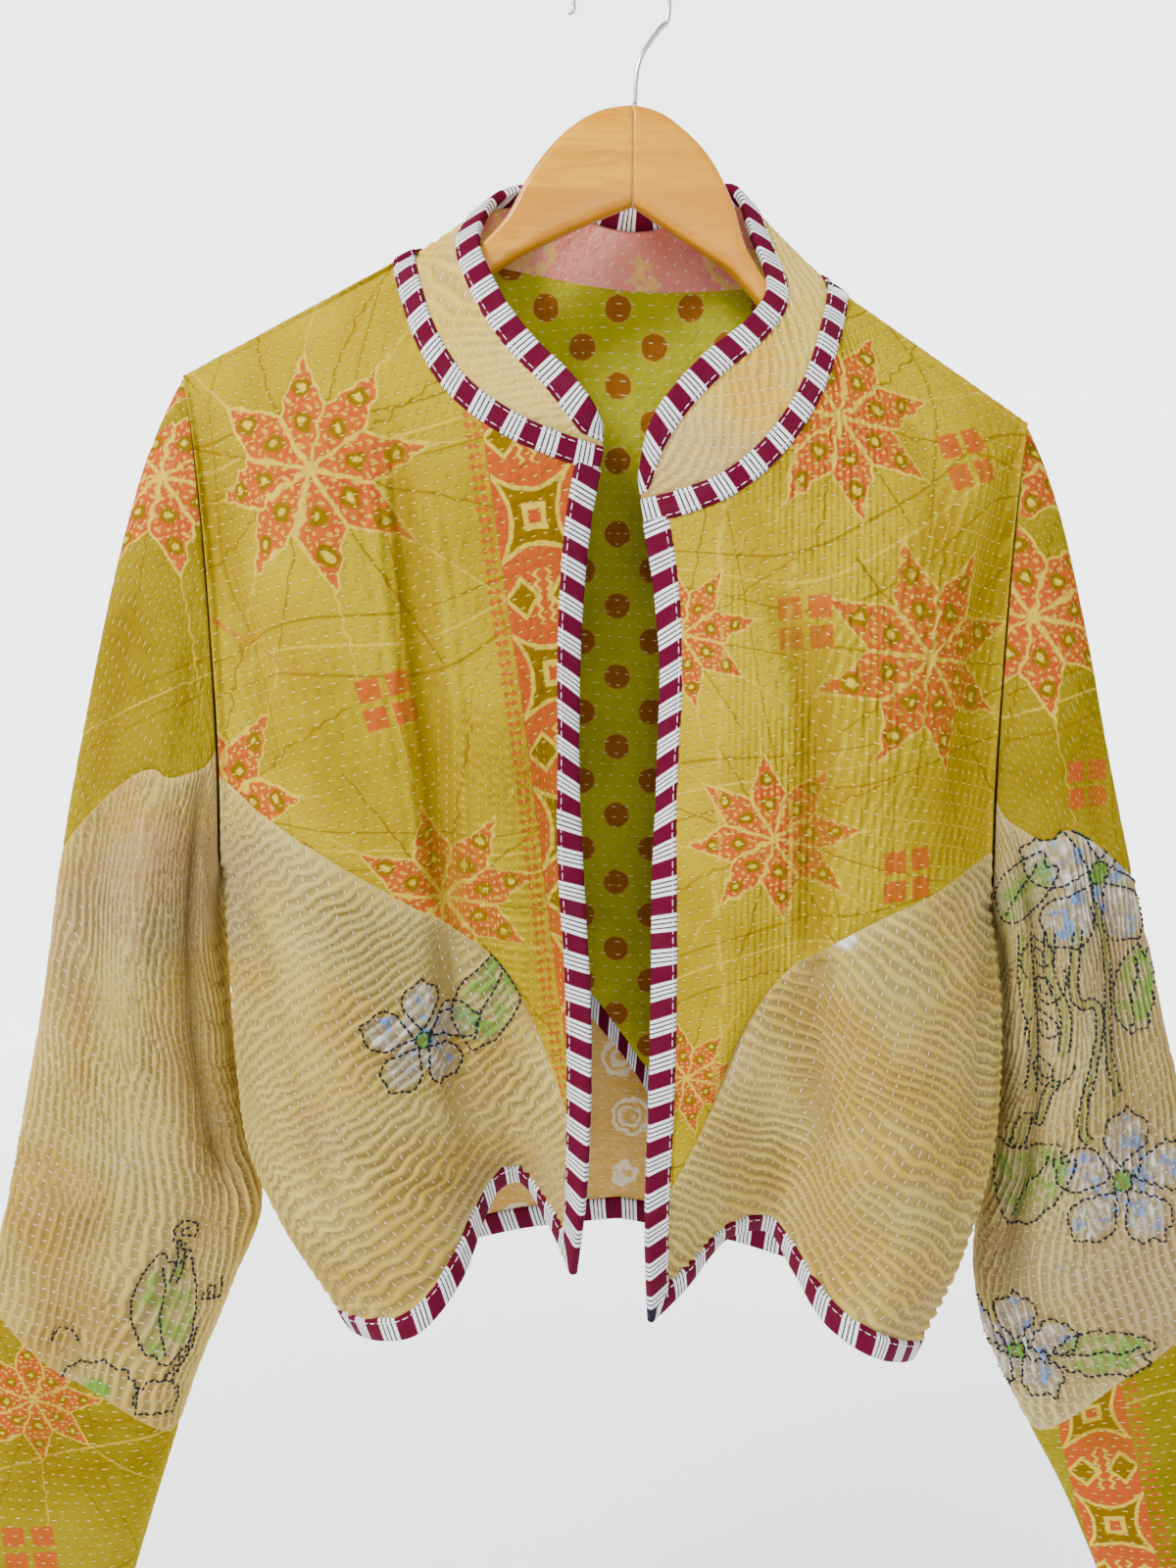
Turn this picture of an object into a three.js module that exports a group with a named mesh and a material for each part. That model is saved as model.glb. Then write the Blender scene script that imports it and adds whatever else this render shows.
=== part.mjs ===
// Short quilted kantha jacket with a stand collar, hung open on a contoured wooden hanger.
// Millimetres, +Z up, the front faces -Y. "right" and "left" are the wearer's: right is -X.
// The origin is the inside of the top of the wire hook, where it rests on what holds it.

import * as THREE from 'three';

// Driving sizes
const WALL = 2.0;
const SEAM_GAP = 0.3;
const TAPE_WIDTH = 11.5;
const TAPE_THICKNESS = 1.0;
const TAPE_CLEARANCE = 0.6;
const RIPPLE_HEIGHT = 1.0;
const BACK_RIPPLES = 15;
const WIRE_RADIUS = 1.15;
const HOOK_RADIUS = 21.6;
const ARMHOLE_CLEARANCE = 0.06;
const TIP_SETBACK = 0.5;
const UNDERARM_SETBACK = 2.6;

const COLOURS = {
  mustard: 0xb59b3c,
  beige: 0xc9b28a,
  binding: 0x7a1238,
  wood: 0xd49a4a,
  steel: 0x9a9da0,
};

// Neck seam and top edge of the collar, from the right front end round the back to the left.
// Rows: base x, y, z, then top x, y, z
const COLLAR = [
  [-8, -31, -216, -9, -32, -206],
  [-25, -35, -211, -14, -38, -198],
  [-47, -38, -202, -25, -37, -184],
  [-68, -36, -187, -41, -31, -168],
  [-82, -30, -166, -55, -22, -148],
  [-91, -17, -141, -65, -10, -125],
  [-94, 0, -125, -64, 2, -109],
  [-84, 16, -121, -54, 14, -94],
  [-50, 30, -126, -30, 27, -88],
  [7, 36, -134, 6, 36, -95],
  [63, 30, -134, 35, 28, -91],
  [90, 16, -131, 54, 15, -92],
  [96, 0, -139, 61, 3, -114],
  [91, -17, -160, 68, -10, -141],
  [81, -30, -187, 58, -22, -159],
  [65, -36, -211, 38, -30, -176],
  [46, -38, -227, 22, -36, -193],
  [26, -36, -235, 12, -37, -210],
  [9, -31, -239, 8, -32, -229],
];

// Front edges from the neck seam to the tip of the hem. Rows: x, y, z
const RIGHT_FRONT_EDGE = [
  [-8, -31, -216],
  [-15, -31, -252],
  [-19, -31, -301],
  [-20, -31, -361],
  [-18, -33, -417],
  [-15, -37, -470],
  [-15, -41, -523],
  [-18, -46, -571],
  [-23, -49, -609],
];
const LEFT_FRONT_EDGE = [
  [9, -31, -239],
  [16, -31, -279],
  [19, -33, -315],
  [18, -35, -360],
  [16, -39, -416],
  [16, -43, -472],
  [15, -49, -529],
  [14, -55, -581],
  [16, -59, -628],
];

// Hem from the front tip to the side seam. Rows: x, y, z
const RIGHT_HEM = [
  [-23, -49, -609],
  [-35, -24, -596],
  [-50, -5, -584],
  [-63, -14, -586],
  [-78, -50, -613],
  [-97, -64, -631],
  [-118, -58, -638],
  [-135, -34, -648],
  [-140, -14, -655],
  [-140, 4, -658],
];
const LEFT_HEM = [
  [16, -59, -628],
  [34, -41, -621],
  [56, -15, -611],
  [80, -5, -612],
  [90, -24, -622],
  [102, -52, -634],
  [121, -63, -643],
  [147, -40, -662],
  [156, -15, -671],
  [157, 4, -674],
];

// Side seams from the underarm to the hem. Rows: x, y, z
const RIGHT_SIDE = [
  [-196, -2, -470],
  [-195, -2, -521],
  [-191, 0, -566],
  [-175, 2, -608],
  [-140, 4, -658],
];
const LEFT_SIDE = [
  [193, -2, -475],
  [196, -2, -525],
  [194, 0, -572],
  [182, 2, -622],
  [157, 4, -674],
];

// Centre of the back from the neck seam to the hem. Rows: x, y, z
const CENTRE_BACK = [
  [7, 36, -134],
  [9, 39, -240],
  [7, 38, -380],
  [4, 35, -520],
  [2, 32, -624],
];
const RIGHT_BACK_HEM = [
  [2, 32, -624],
  [-40, 35, -630],
  [-80, 36, -639],
  [-115, 32, -650],
  [-134, 20, -656],
  [-140, 4, -658],
];
const LEFT_BACK_HEM = [
  [2, 32, -624],
  [45, 35, -634],
  [88, 36, -647],
  [130, 32, -663],
  [151, 20, -672],
  [157, 4, -674],
];

// Sleeves from the armhole to the cuff.
// Rows: outer edge x, z, inner edge x, z, half depth, middle y, inward bow of the front and back
const RIGHT_SLEEVE = [
  [-204, -180, -199, -415, 24, 0, 9],
  [-216, -202, -202, -427, 26, 0, 9],
  [-228, -230, -203, -441, 28, 0, 8],
  [-244, -279, -203, -462, 29, 0, 5],
  [-259, -336, -202, -490, 29, 0, 2],
  [-275, -401, -200, -525, 28, 0, 0],
  [-289, -470, -196, -562, 27, 1, 0],
  [-305, -537, -190, -603, 26, 2, 0],
  [-323, -608, -207, -647, 25, 2, 0],
  [-341, -672, -229, -700, 23, 2, 0],
  [-363, -745, -252, -768, 21, 1, 0],
  [-392, -838, -281, -858, 19, 0, 0],
];
const LEFT_SLEEVE = [
  [191, -201, 187, -432, 24, 0, 8],
  [202, -224, 191, -444, 26, 0, 8],
  [212, -252, 195, -460, 28, 0, 7],
  [225, -299, 198, -484, 29, 0, 4],
  [238, -352, 200, -513, 29, 0, 2],
  [254, -412, 201, -546, 28, 0, 0],
  [270, -466, 200, -580, 27, 1, 0],
  [291, -538, 193, -622, 26, 2, 0],
  [315, -607, 199, -670, 25, 2, 0],
  [342, -675, 220, -717, 23, 2, 0],
  [371, -746, 251, -776, 21, 1, 0],
  [412, -836, 288, -862, 19, 0, 0],
];

// Seam between upper and lower cloth on each front, from the side to the front edge.
// Rows: way across the panel, way down it
const RIGHT_FRONT_SEAM = [
  [1.0, 0.478],
  [0.88, 0.489],
  [0.75, 0.497],
  [0.63, 0.508],
  [0.5, 0.533],
  [0.38, 0.575],
  [0.26, 0.622],
  [0.185, 0.674],
  [0.113, 0.75],
  [0.04, 0.84],
  [0.0, 0.872],
];
const LEFT_FRONT_SEAM = [
  [1.0, 0.503],
  [0.88, 0.506],
  [0.76, 0.51],
  [0.6, 0.52],
  [0.49, 0.54],
  [0.39, 0.572],
  [0.29, 0.618],
  [0.215, 0.68],
  [0.16, 0.75],
  [0.1, 0.81],
  [0.05, 0.852],
  [0.0, 0.885],
];

// Seam of the back. Rows: way across from the right side (-1) to the left (1), way down
const BACK_SEAM = [
  [-1.0, 0.49],
  [-0.6, 0.545],
  [-0.3, 0.635],
  [-0.08, 0.751],
  [0.05, 0.823],
  [0.12, 0.85],
  [0.19, 0.82],
  [0.32, 0.745],
  [0.6, 0.62],
  [1.0, 0.51],
];

// Sleeve seams. Cap: angle (in half turns from the outer edge) where it meets the armhole and
// its length in rows; lower seam: rows down the sleeve at the outer and the inner edge
const RIGHT_SLEEVE_SEAMS = { capEnd: 0.63, capLength: 5.1, outer: 8.58, inner: 9.48 };
const LEFT_SLEEVE_SEAMS = { capEnd: 0.655, capLength: 5.15, outer: 8.26, inner: 9.24 };

// Wooden hanger arms from the centre joint to the shoulder. Rows: x, top z, bottom z, depth
const RIGHT_ARM = [
  [5.4, -62.5, -105, 11],
  [-8, -64.5, -110, 12],
  [-20, -70, -115, 12],
  [-32, -80, -120, 12.5],
  [-43, -94, -125, 13],
  [-54, -112, -131, 12],
  [-75, -130, -144, 12],
  [-100, -138, -153, 13],
  [-140, -158, -172, 13],
  [-178, -178, -190, 12],
  [-190, -185, -194, 9],
];
const LEFT_ARM = [
  [5.7, -62.5, -105, 11],
  [18, -66, -113, 12],
  [31, -75, -121, 12],
  [42, -87, -128, 12.5],
  [51, -104, -134, 13],
  [59, -126, -142, 12],
  [76, -146, -159, 12],
  [101, -156, -170, 13],
  [135, -177, -190, 13],
  [167, -198, -209, 12],
  [177, -206, -213, 9],
];

// Wire from the hanger up to the start of the hook's bend. Rows: x, z
const HOOK_STEM = [
  [6.4, -61.6],
  [7, -50],
  [9, -42],
  [13.5, -35],
  [18.5, -29],
];

const vector = (x, y, z) => new THREE.Vector3(x, y, z);
const lerp = (a, b, t) => a + (b - a) * t;
const clamp = (x, low, high) => Math.min(high, Math.max(low, x));
const mix = (p, q, t) => p.clone().lerp(q, t);
const moved = (p, direction, distance) => p.clone().addScaledVector(direction, distance);

function steps(count, from = 0, to = 1) {
  return Array.from({ length: count + 1 }, (_, i) => lerp(from, to, i / count));
}

// Smooth curve through the rows of a table, one value per column
function spline(rows, knots) {
  const last = rows.length - 1;
  const slope = (i, c) => {
    const before = Math.max(0, i - 1);
    const after = Math.min(last, i + 1);
    return (rows[after][c] - rows[before][c]) / (knots[after] - knots[before]);
  };
  return (t) => {
    let i = 0;
    while (i < last - 1 && t > knots[i + 1]) i += 1;
    const span = knots[i + 1] - knots[i];
    const s = clamp((t - knots[i]) / span, 0, 1);
    const s2 = s * s;
    const s3 = s2 * s;
    return rows[i].map((value, c) => (2 * s3 - 3 * s2 + 1) * value
      + (s3 - 2 * s2 + s) * span * slope(i, c)
      + (3 * s2 - 2 * s3) * rows[i + 1][c]
      + (s3 - s2) * span * slope(i + 1, c));
  };
}

// Curve through points, with equal steps of the parameter giving equal lengths
function curve(points) {
  const knots = [0];
  for (let i = 1; i < points.length; i += 1) {
    knots.push(knots[i - 1] + vector(...points[i]).distanceTo(vector(...points[i - 1])));
  }
  const total = knots[knots.length - 1];
  const through = spline(points, knots);
  return (t) => vector(...through(t * total));
}

function tableOf(rows) {
  const through = spline(rows, rows.map((_, i) => i));
  return (t) => through(t);
}

function lookup(rows) {
  const through = spline(rows.map((row) => [row[1]]), rows.map((row) => row[0]));
  return (t) => through(t)[0];
}

const sign = (x) => (x < 0 ? -1 : 1);
const flattened = (x) => sign(x) * Math.abs(x) ** 0.78;

// Sleeve as a surface: angle in half turns from the outer edge (front is positive), row down it
function sleeveSurface(rows) {
  const at = tableOf(rows);
  const inward = -sign(rows[0][0]);
  return (angle, row) => {
    const [ox, oz, ix, iz, depth, middle, bow] = at(row);
    const c = flattened(Math.cos(angle * Math.PI));
    const s = flattened(Math.sin(angle * Math.PI));
    const x = (ox + ix) / 2 + ((ox - ix) / 2) * c + inward * bow * s * s;
    const z = (oz + iz) / 2 + ((oz - iz) / 2) * c;
    return vector(x, middle - depth * s, z);
  };
}

const rightSleeve = sleeveSurface(RIGHT_SLEEVE);
const leftSleeve = sleeveSurface(LEFT_SLEEVE);

// Side of a body panel: shoulder seam, then armhole, then side seam
const SHOULDER_PART = 0.27;
const ARMHOLE_PART = 0.58;

function sideLine(neckPoint, sleeve, seam, facing) {
  const armhole = (part) => {
    const setback = lerp(TIP_SETBACK, UNDERARM_SETBACK, part);
    const shift = vector(-sign(neckPoint.x) * setback, (-facing * SEAM_GAP) / 2, 0);
    return sleeve(facing * part, 0).add(shift);
  };
  const underarm = armhole(1);
  const lower = seam.map(([x, y, z]) => [x, y - (facing * SEAM_GAP) / 2, z]);
  const below = curve([[underarm.x, underarm.y, underarm.z], ...lower]);
  const neckEnd = neckPoint.clone().add(vector(0, (-facing * SEAM_GAP) / 2, 0));
  return (v) => {
    if (v < SHOULDER_PART) {
      return mix(neckEnd, armhole(0), v / SHOULDER_PART);
    }
    if (v < ARMHOLE_PART) {
      return armhole((v - SHOULDER_PART) / (ARMHOLE_PART - SHOULDER_PART));
    }
    return below((v - ARMHOLE_PART) / (1 - ARMHOLE_PART));
  };
}

// Half of the body: u runs from the front edge or centre back to the side, v from neck to hem
function bodyPanel({ edge, side, neck, hem, fullness }) {
  const start = 0.7;
  const roll = (u, v) => {
    const s = clamp((u - start) / (1 - start), 0, 1);
    const round = Math.sqrt(Math.max(0, 1 - s * s));
    const soft = 1 - s * s;
    const inArmhole = clamp(1 - Math.abs(v - 0.43) / 0.17, 0, 1);
    return lerp(round, soft, inArmhole);
  };
  const plain = (u, v) => {
    const f = edge(v);
    const g = side(v);
    const depth = f.y + fullness * Math.sin(Math.PI * v) * Math.sin(Math.PI * Math.min(u, 0.9));
    return vector(lerp(f.x, g.x, u), g.y + (depth - g.y) * roll(u, v), lerp(f.z, g.z, u));
  };
  return (u, v) => {
    const point = plain(u, v);
    const atSide = clamp((u - 0.97) / 0.03, 0, 1);
    const neckShift = neck(u).sub(plain(u, 0));
    const hemShift = hem(u).sub(plain(u, 1));
    neckShift.y *= 1 - atSide;
    hemShift.y *= 1 - atSide;
    point.addScaledVector(neckShift, (1 - v) ** 2);
    point.addScaledVector(hemShift, v ** 3);
    return point;
  };
}

const collarAt = tableOf(COLLAR);
const collarRows = COLLAR.length - 1;
const SHOULDER_ROWS = { right: 6, left: 12, back: 9 };
const neckBetween = (from, to) => (u) => vector(...collarAt(lerp(from, to, u)).slice(0, 3));
const rightNeckPoint = neckBetween(SHOULDER_ROWS.right, SHOULDER_ROWS.right)(0);
const leftNeckPoint = neckBetween(SHOULDER_ROWS.left, SHOULDER_ROWS.left)(0);

const frontRight = bodyPanel({
  edge: curve(RIGHT_FRONT_EDGE),
  side: sideLine(rightNeckPoint, rightSleeve, RIGHT_SIDE, 1),
  neck: neckBetween(0, SHOULDER_ROWS.right),
  hem: curve(RIGHT_HEM),
  fullness: -18,
});
const frontLeft = bodyPanel({
  edge: curve(LEFT_FRONT_EDGE),
  side: sideLine(leftNeckPoint, leftSleeve, LEFT_SIDE, 1),
  neck: neckBetween(collarRows, SHOULDER_ROWS.left),
  hem: curve(LEFT_HEM),
  fullness: -18,
});
const backRight = bodyPanel({
  edge: curve(CENTRE_BACK),
  side: sideLine(rightNeckPoint, rightSleeve, RIGHT_SIDE, -1),
  neck: neckBetween(SHOULDER_ROWS.back, SHOULDER_ROWS.right),
  hem: curve(RIGHT_BACK_HEM),
  fullness: 0,
});
const backLeft = bodyPanel({
  edge: curve(CENTRE_BACK),
  side: sideLine(leftNeckPoint, leftSleeve, LEFT_SIDE, -1),
  neck: neckBetween(SHOULDER_ROWS.back, SHOULDER_ROWS.left),
  hem: curve(LEFT_BACK_HEM),
  fullness: 0,
});
const back = (u, v) => (u < 0 ? backRight(-u, v) : backLeft(u, v));

function collarSurface(t, w) {
  const [bx, by, bz, tx, ty, tz] = collarAt(t);
  return vector(lerp(bx, tx, w), lerp(by, ty, w), lerp(bz, tz, w));
}

// Direction out of the cloth at a place on a surface; side is 1 or -1
function outward(surface, side, box) {
  const e = 2e-4;
  return (u, v) => {
    const u0 = Math.max(box[0], u - e * box[4]);
    const u1 = Math.min(box[1], u + e * box[4]);
    const v0 = Math.max(box[2], v - e * box[5]);
    const v1 = Math.min(box[3], v + e * box[5]);
    const across = surface(u1, v).sub(surface(u0, v));
    const down = surface(u, v1).sub(surface(u, v0));
    return across.cross(down).normalize().multiplyScalar(side);
  };
}

// Length of the surface per unit of each parameter
function speed(surface, u, v, du, dv) {
  return surface(u + du, v + dv).distanceTo(surface(u, v)) / Math.hypot(du, dv);
}

// Collects shared points and triangles of one closed solid
class Solid {
  constructor() {
    this.points = [];
    this.faces = [];
    this.known = new Map();
  }

  point(p) {
    const key = `${p.x.toFixed(3)},${p.y.toFixed(3)},${p.z.toFixed(3)}`;
    if (!this.known.has(key)) {
      this.known.set(key, this.points.length);
      this.points.push(p.clone());
    }
    return this.known.get(key);
  }

  triangle(a, b, c) {
    if (a !== b && b !== c && a !== c) this.faces.push([a, b, c]);
  }

  quad(a, b, c, d) {
    this.triangle(a, b, c);
    this.triangle(a, c, d);
  }

  mesh(name, colour) {
    let volume = 0;
    for (const [a, b, c] of this.faces) {
      volume += this.points[a].dot(this.points[b].clone().cross(this.points[c]));
    }
    const faces = volume < 0 ? this.faces.map(([a, b, c]) => [a, c, b]) : this.faces;
    const geometry = new THREE.BufferGeometry();
    const positions = this.points.flatMap((p) => [p.x, p.y, p.z]);
    geometry.setAttribute('position', new THREE.Float32BufferAttribute(positions, 3));
    geometry.setIndex(faces.flat());
    geometry.computeVertexNormals();
    const material = new THREE.MeshStandardMaterial({ color: colour, roughness: 0.9 });
    const mesh = new THREE.Mesh(geometry, material);
    mesh.name = name;
    return mesh;
  }
}

const group = new THREE.Group();

// Cloth wall on a surface. place(i, j) gives the surface's parameters for a column and a row,
// relief(i, j) the height of the quilting there; the inside is plain
function wall({ name, colour, surface, normal, columns, rows, place, relief, closed }) {
  const solid = new Solid();
  const outer = [];
  const inner = [];
  for (let j = 0; j <= rows; j += 1) {
    outer.push([]);
    inner.push([]);
    for (let i = 0; i <= columns; i += 1) {
      const [u, v] = place(i, j);
      const point = surface(u, v);
      const out = normal(u, v);
      outer[j].push(solid.point(moved(point, out, relief ? relief(i, j) : 0)));
      inner[j].push(solid.point(moved(point, out, -WALL)));
    }
  }
  for (let j = 0; j < rows; j += 1) {
    for (let i = 0; i < columns; i += 1) {
      solid.quad(outer[j][i], outer[j][i + 1], outer[j + 1][i + 1], outer[j + 1][i]);
      solid.quad(inner[j][i], inner[j + 1][i], inner[j + 1][i + 1], inner[j][i + 1]);
    }
  }
  for (let i = 0; i < columns; i += 1) {
    solid.quad(outer[0][i + 1], outer[0][i], inner[0][i], inner[0][i + 1]);
    solid.quad(outer[rows][i], outer[rows][i + 1], inner[rows][i + 1], inner[rows][i]);
  }
  if (!closed) {
    for (let j = 0; j < rows; j += 1) {
      solid.quad(outer[j][0], outer[j + 1][0], inner[j + 1][0], inner[j][0]);
      solid.quad(outer[j + 1][columns], outer[j][columns], inner[j][columns],
        inner[j + 1][columns]);
    }
  }
  group.add(solid.mesh(name, colour));
}

// Tape swept through rings; each ring is an outer run of points, then the inner run backwards.
// Its faces are split the way the cloth's are: falling(k) is true where the tape runs across
// the cloth's rows or against its columns
function sweep(name, rings, { loop = false, falling = () => false } = {}) {
  const solid = new Solid();
  const ids = rings.map((ring) => ring.map((p) => solid.point(p)));
  const size = ids[0].length;
  const lanes = size === 8 ? [0, 1, 1, 0, 0, 1, 1, 0] : ids[0].map((_, i) => Math.min(i, size - 1 - i));
  const spans = loop ? ids.length : ids.length - 1;
  for (let k = 0; k < spans; k += 1) {
    const a = ids[k];
    const b = ids[(k + 1) % ids.length];
    for (let i = 0; i < size; i += 1) {
      const n = (i + 1) % size;
      if (lanes[i] < lanes[n] === !falling(k)) solid.quad(a[i], b[i], b[n], a[n]);
      else solid.quad(b[i], b[n], a[n], a[i]);
    }
  }
  if (!loop) {
    const first = ids[0];
    const last = ids[ids.length - 1];
    for (let i = 0; i < size / 2 - 1; i += 1) {
      solid.quad(first[i], first[i + 1], first[size - 2 - i], first[size - 1 - i]);
      solid.quad(last[i + 1], last[i], last[size - 1 - i], last[size - 2 - i]);
    }
  }
  group.add(solid.mesh(name, COLOURS.binding));
}

// Round solid swept through rings, closed by fans at both ends
function rod(name, colour, rings) {
  const solid = new Solid();
  const ids = rings.map((ring) => ring.map((p) => solid.point(p)));
  const size = ids[0].length;
  for (let k = 0; k < ids.length - 1; k += 1) {
    for (let i = 0; i < size; i += 1) {
      const n = (i + 1) % size;
      solid.quad(ids[k][i], ids[k + 1][i], ids[k + 1][n], ids[k][n]);
    }
  }
  const first = ids[0];
  const last = ids[ids.length - 1];
  for (let i = 1; i < size - 1; i += 1) {
    solid.triangle(first[0], first[i], first[i + 1]);
    solid.triangle(last[0], last[i + 1], last[i]);
  }
  group.add(solid.mesh(name, colour));
}

// Ring of a tape folded over an edge: the edge point, a point further in, and their normals
function foldedRing(edgePoint, edgeNormal, insidePoint, insideNormal) {
  const near = TAPE_CLEARANCE;
  const far = TAPE_CLEARANCE + TAPE_THICKNESS;
  const over = edgePoint.clone().sub(insidePoint).normalize();
  const corner = (out, height) => moved(moved(edgePoint, edgeNormal, height), over, out);
  return [
    moved(insidePoint, insideNormal, far),
    corner(far, far),
    corner(far, -WALL - far),
    moved(insidePoint, insideNormal, -WALL - far),
    moved(insidePoint, insideNormal, -WALL - near),
    corner(near, -WALL - near),
    corner(near, near),
    moved(insidePoint, insideNormal, near),
  ];
}

// Ring of a flat tape lying on the cloth through a few points; side is 1 outside, -1 inside
function flatRing(points, side) {
  const level = side > 0 ? 0 : WALL;
  const near = side * (level + TAPE_CLEARANCE);
  const far = side * (level + TAPE_CLEARANCE + TAPE_THICKNESS);
  return [
    ...points.map(({ point, out }) => moved(point, out, far)),
    ...points.map(({ point, out }) => moved(point, out, near)).reverse(),
  ];
}

const PANEL_BOX = [0, 1, 0, 1, 1, 1];
const normals = {
  frontRight: outward(frontRight, 1, PANEL_BOX),
  frontLeft: outward(frontLeft, -1, PANEL_BOX),
  back: outward(back, 1, [-1, 1, 0, 1, 1, 1]),
  collar: outward(collarSurface, 1, [0, collarRows, 0, 1, 20, 1]),
  rightSleeve: outward(rightSleeve, 1, [-9, 9, 0, RIGHT_SLEEVE.length - 1, 1, 11]),
  leftSleeve: outward(leftSleeve, -1, [-9, 9, 0, LEFT_SLEEVE.length - 1, 1, 11]),
};

// Insets of the binding from the free edges of a panel
const neckInset = (surface, u) => TAPE_WIDTH / speed(surface, u, 0, 0, 0.02);
const hemInset = (surface, u) => 1 - TAPE_WIDTH / speed(surface, u, 0.98, 0, 0.02);
const edgeInset = (surface, v) => TAPE_WIDTH / speed(surface, 0, v, 0.06, 0);

const COLUMN_STEPS = [0, 0.11, 0.22, 0.33, 0.44, 0.55, 0.66, 0.77, 0.88, 0.955, 1];
const FRONT_COLUMNS = COLUMN_STEPS.length;
const FULL_ROWS = 8;
const WEDGE_ROWS = 18;
const FREE_ROWS = 4;

// Seam as a curve over the panel, from the side (0) to the front edge (1)
function seamOf(table) {
  const across = 180;
  const down = 450;
  const line = curve(table.map(([u, v]) => [u * across, v * down, 0]));
  return (t) => {
    const point = line(t);
    return [clamp(point.x / across, 0, 1), point.y / down];
  };
}

// Places of the columns and rows of the two cloths of a front
function frontPlaces(surface, seam) {
  const sideRow = seam(0)[1];
  const tipRow = seam(1)[1];
  const gapAcross = SEAM_GAP / 2 / 170;
  const gapDown = SEAM_GAP / 2 / 420;
  const upper = (i, j) => {
    let [end, endRow] = [1, lerp(0, sideRow, (j - 1) / FULL_ROWS)];
    let edgeRow = lerp(0, sideRow - 0.02, (j - 1) / FULL_ROWS);
    if (j > FULL_ROWS) {
      const k = (j - FULL_ROWS) / WEDGE_ROWS;
      [end, endRow] = seam(k);
      end = Math.max(0, end - gapAcross);
      endRow -= gapDown;
      edgeRow = lerp(sideRow - 0.02, tipRow - 2 * gapDown, k);
    }
    const inset = Math.min(edgeInset(surface, edgeRow), end * 0.9);
    const u = i === 0 ? 0 : lerp(inset, end, COLUMN_STEPS[i - 1]);
    if (j === 0) return [u, 0];
    if (j === 1) return [u, neckInset(surface, u)];
    return [u, lerp(edgeRow, endRow, end > 0 ? u / end : 0)];
  };
  const rows = WEDGE_ROWS + FREE_ROWS + 2;
  const lower = (i, j) => {
    const k = Math.min(1, j / WEDGE_ROWS);
    let [begin, beginRow] = seam(k);
    let sideAt = lerp(sideRow, 0.96, Math.min(1, j / (WEDGE_ROWS + FREE_ROWS)));
    if (j > WEDGE_ROWS) beginRow = lerp(tipRow, 0.96, (j - WEDGE_ROWS) / FREE_ROWS);
    if (j <= WEDGE_ROWS) {
      begin = Math.min(1, begin + (k < 1 ? gapAcross : 0));
      beginRow += gapDown;
      sideAt += gapDown;
    }
    const edge = edgeInset(surface, Math.min(1, beginRow));
    const inset = Math.min(1, Math.max(edge, begin + (1 - begin) * 0.07));
    const u = i === 0 ? begin : lerp(inset, 1, COLUMN_STEPS[i - 1]);
    if (j >= rows - 1) {
      const last = i === 0 ? 0 : lerp(edgeInset(surface, 1), 1, COLUMN_STEPS[i - 1]);
      return [last, j === rows ? 1 : hemInset(surface, last)];
    }
    return [u, lerp(beginRow, sideAt, begin < 1 ? (u - begin) / (1 - begin) : 0)];
  };
  return { upper, lower, upperRows: FULL_ROWS + WEDGE_ROWS, lowerRows: rows };
}

function buildFront(side, surface, normal, table) {
  const places = frontPlaces(surface, seamOf(table));
  wall({
    name: `front_${side}_upper`,
    colour: COLOURS.mustard,
    surface,
    normal,
    columns: FRONT_COLUMNS,
    rows: places.upperRows,
    place: places.upper,
    closed: false,
  });
  wall({
    name: `front_${side}_lower`,
    colour: COLOURS.beige,
    surface,
    normal,
    columns: FRONT_COLUMNS,
    rows: places.lowerRows,
    place: places.lower,
    relief: (i, j) => {
      const border = i < 2 || i > FRONT_COLUMNS - 1 || j < 1 || j > places.lowerRows - 2;
      return border || j % 2 === 0 ? 0 : RIPPLE_HEIGHT;
    },
    closed: false,
  });
  return places;
}
const rightPlaces = buildFront('right', frontRight, normals.frontRight, RIGHT_FRONT_SEAM);
const leftPlaces = buildFront('left', frontLeft, normals.frontLeft, LEFT_FRONT_SEAM);

// Back: ridges of the quilting run from neck to hem
const BACK_COLUMNS = 2 * BACK_RIPPLES + 4;
const backSeam = lookup(BACK_SEAM);
function backColumn(i) {
  const ends = [-1, -0.97, -0.91];
  if (i < ends.length) return ends[i];
  if (i > BACK_COLUMNS - ends.length) return -ends[BACK_COLUMNS - i];
  return lerp(-0.91, 0.91, (i - 2) / (BACK_COLUMNS - 4));
}
const backRelief = (first, last) => (i, j) => {
  const border = i < 3 || i > BACK_COLUMNS - 3 || j < first || j > last;
  return border || i % 2 === 0 ? 0 : RIPPLE_HEIGHT;
};
const backGap = SEAM_GAP / 480;
const tapeHalf = TAPE_WIDTH / 2 / 400;
const UPPER_BACK_ROWS = 9;
const LOWER_BACK_ROWS = 6;
function upperBackPlace(i, j) {
  const u = backColumn(i);
  if (j === 0) return [u, 0];
  if (j === UPPER_BACK_ROWS) return [u, backSeam(u) - backGap];
  const way = (j - 1) / (UPPER_BACK_ROWS - 2);
  return [u, lerp(neckInset(back, u), backSeam(u) - tapeHalf, way)];
}
function lowerBackPlace(i, j) {
  const u = backColumn(i);
  if (j === 0) return [u, backSeam(u) + backGap];
  if (j === LOWER_BACK_ROWS) return [u, 1];
  const way = (j - 1) / (LOWER_BACK_ROWS - 2);
  return [u, lerp(backSeam(u) + tapeHalf, hemInset(back, u), way)];
}
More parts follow.
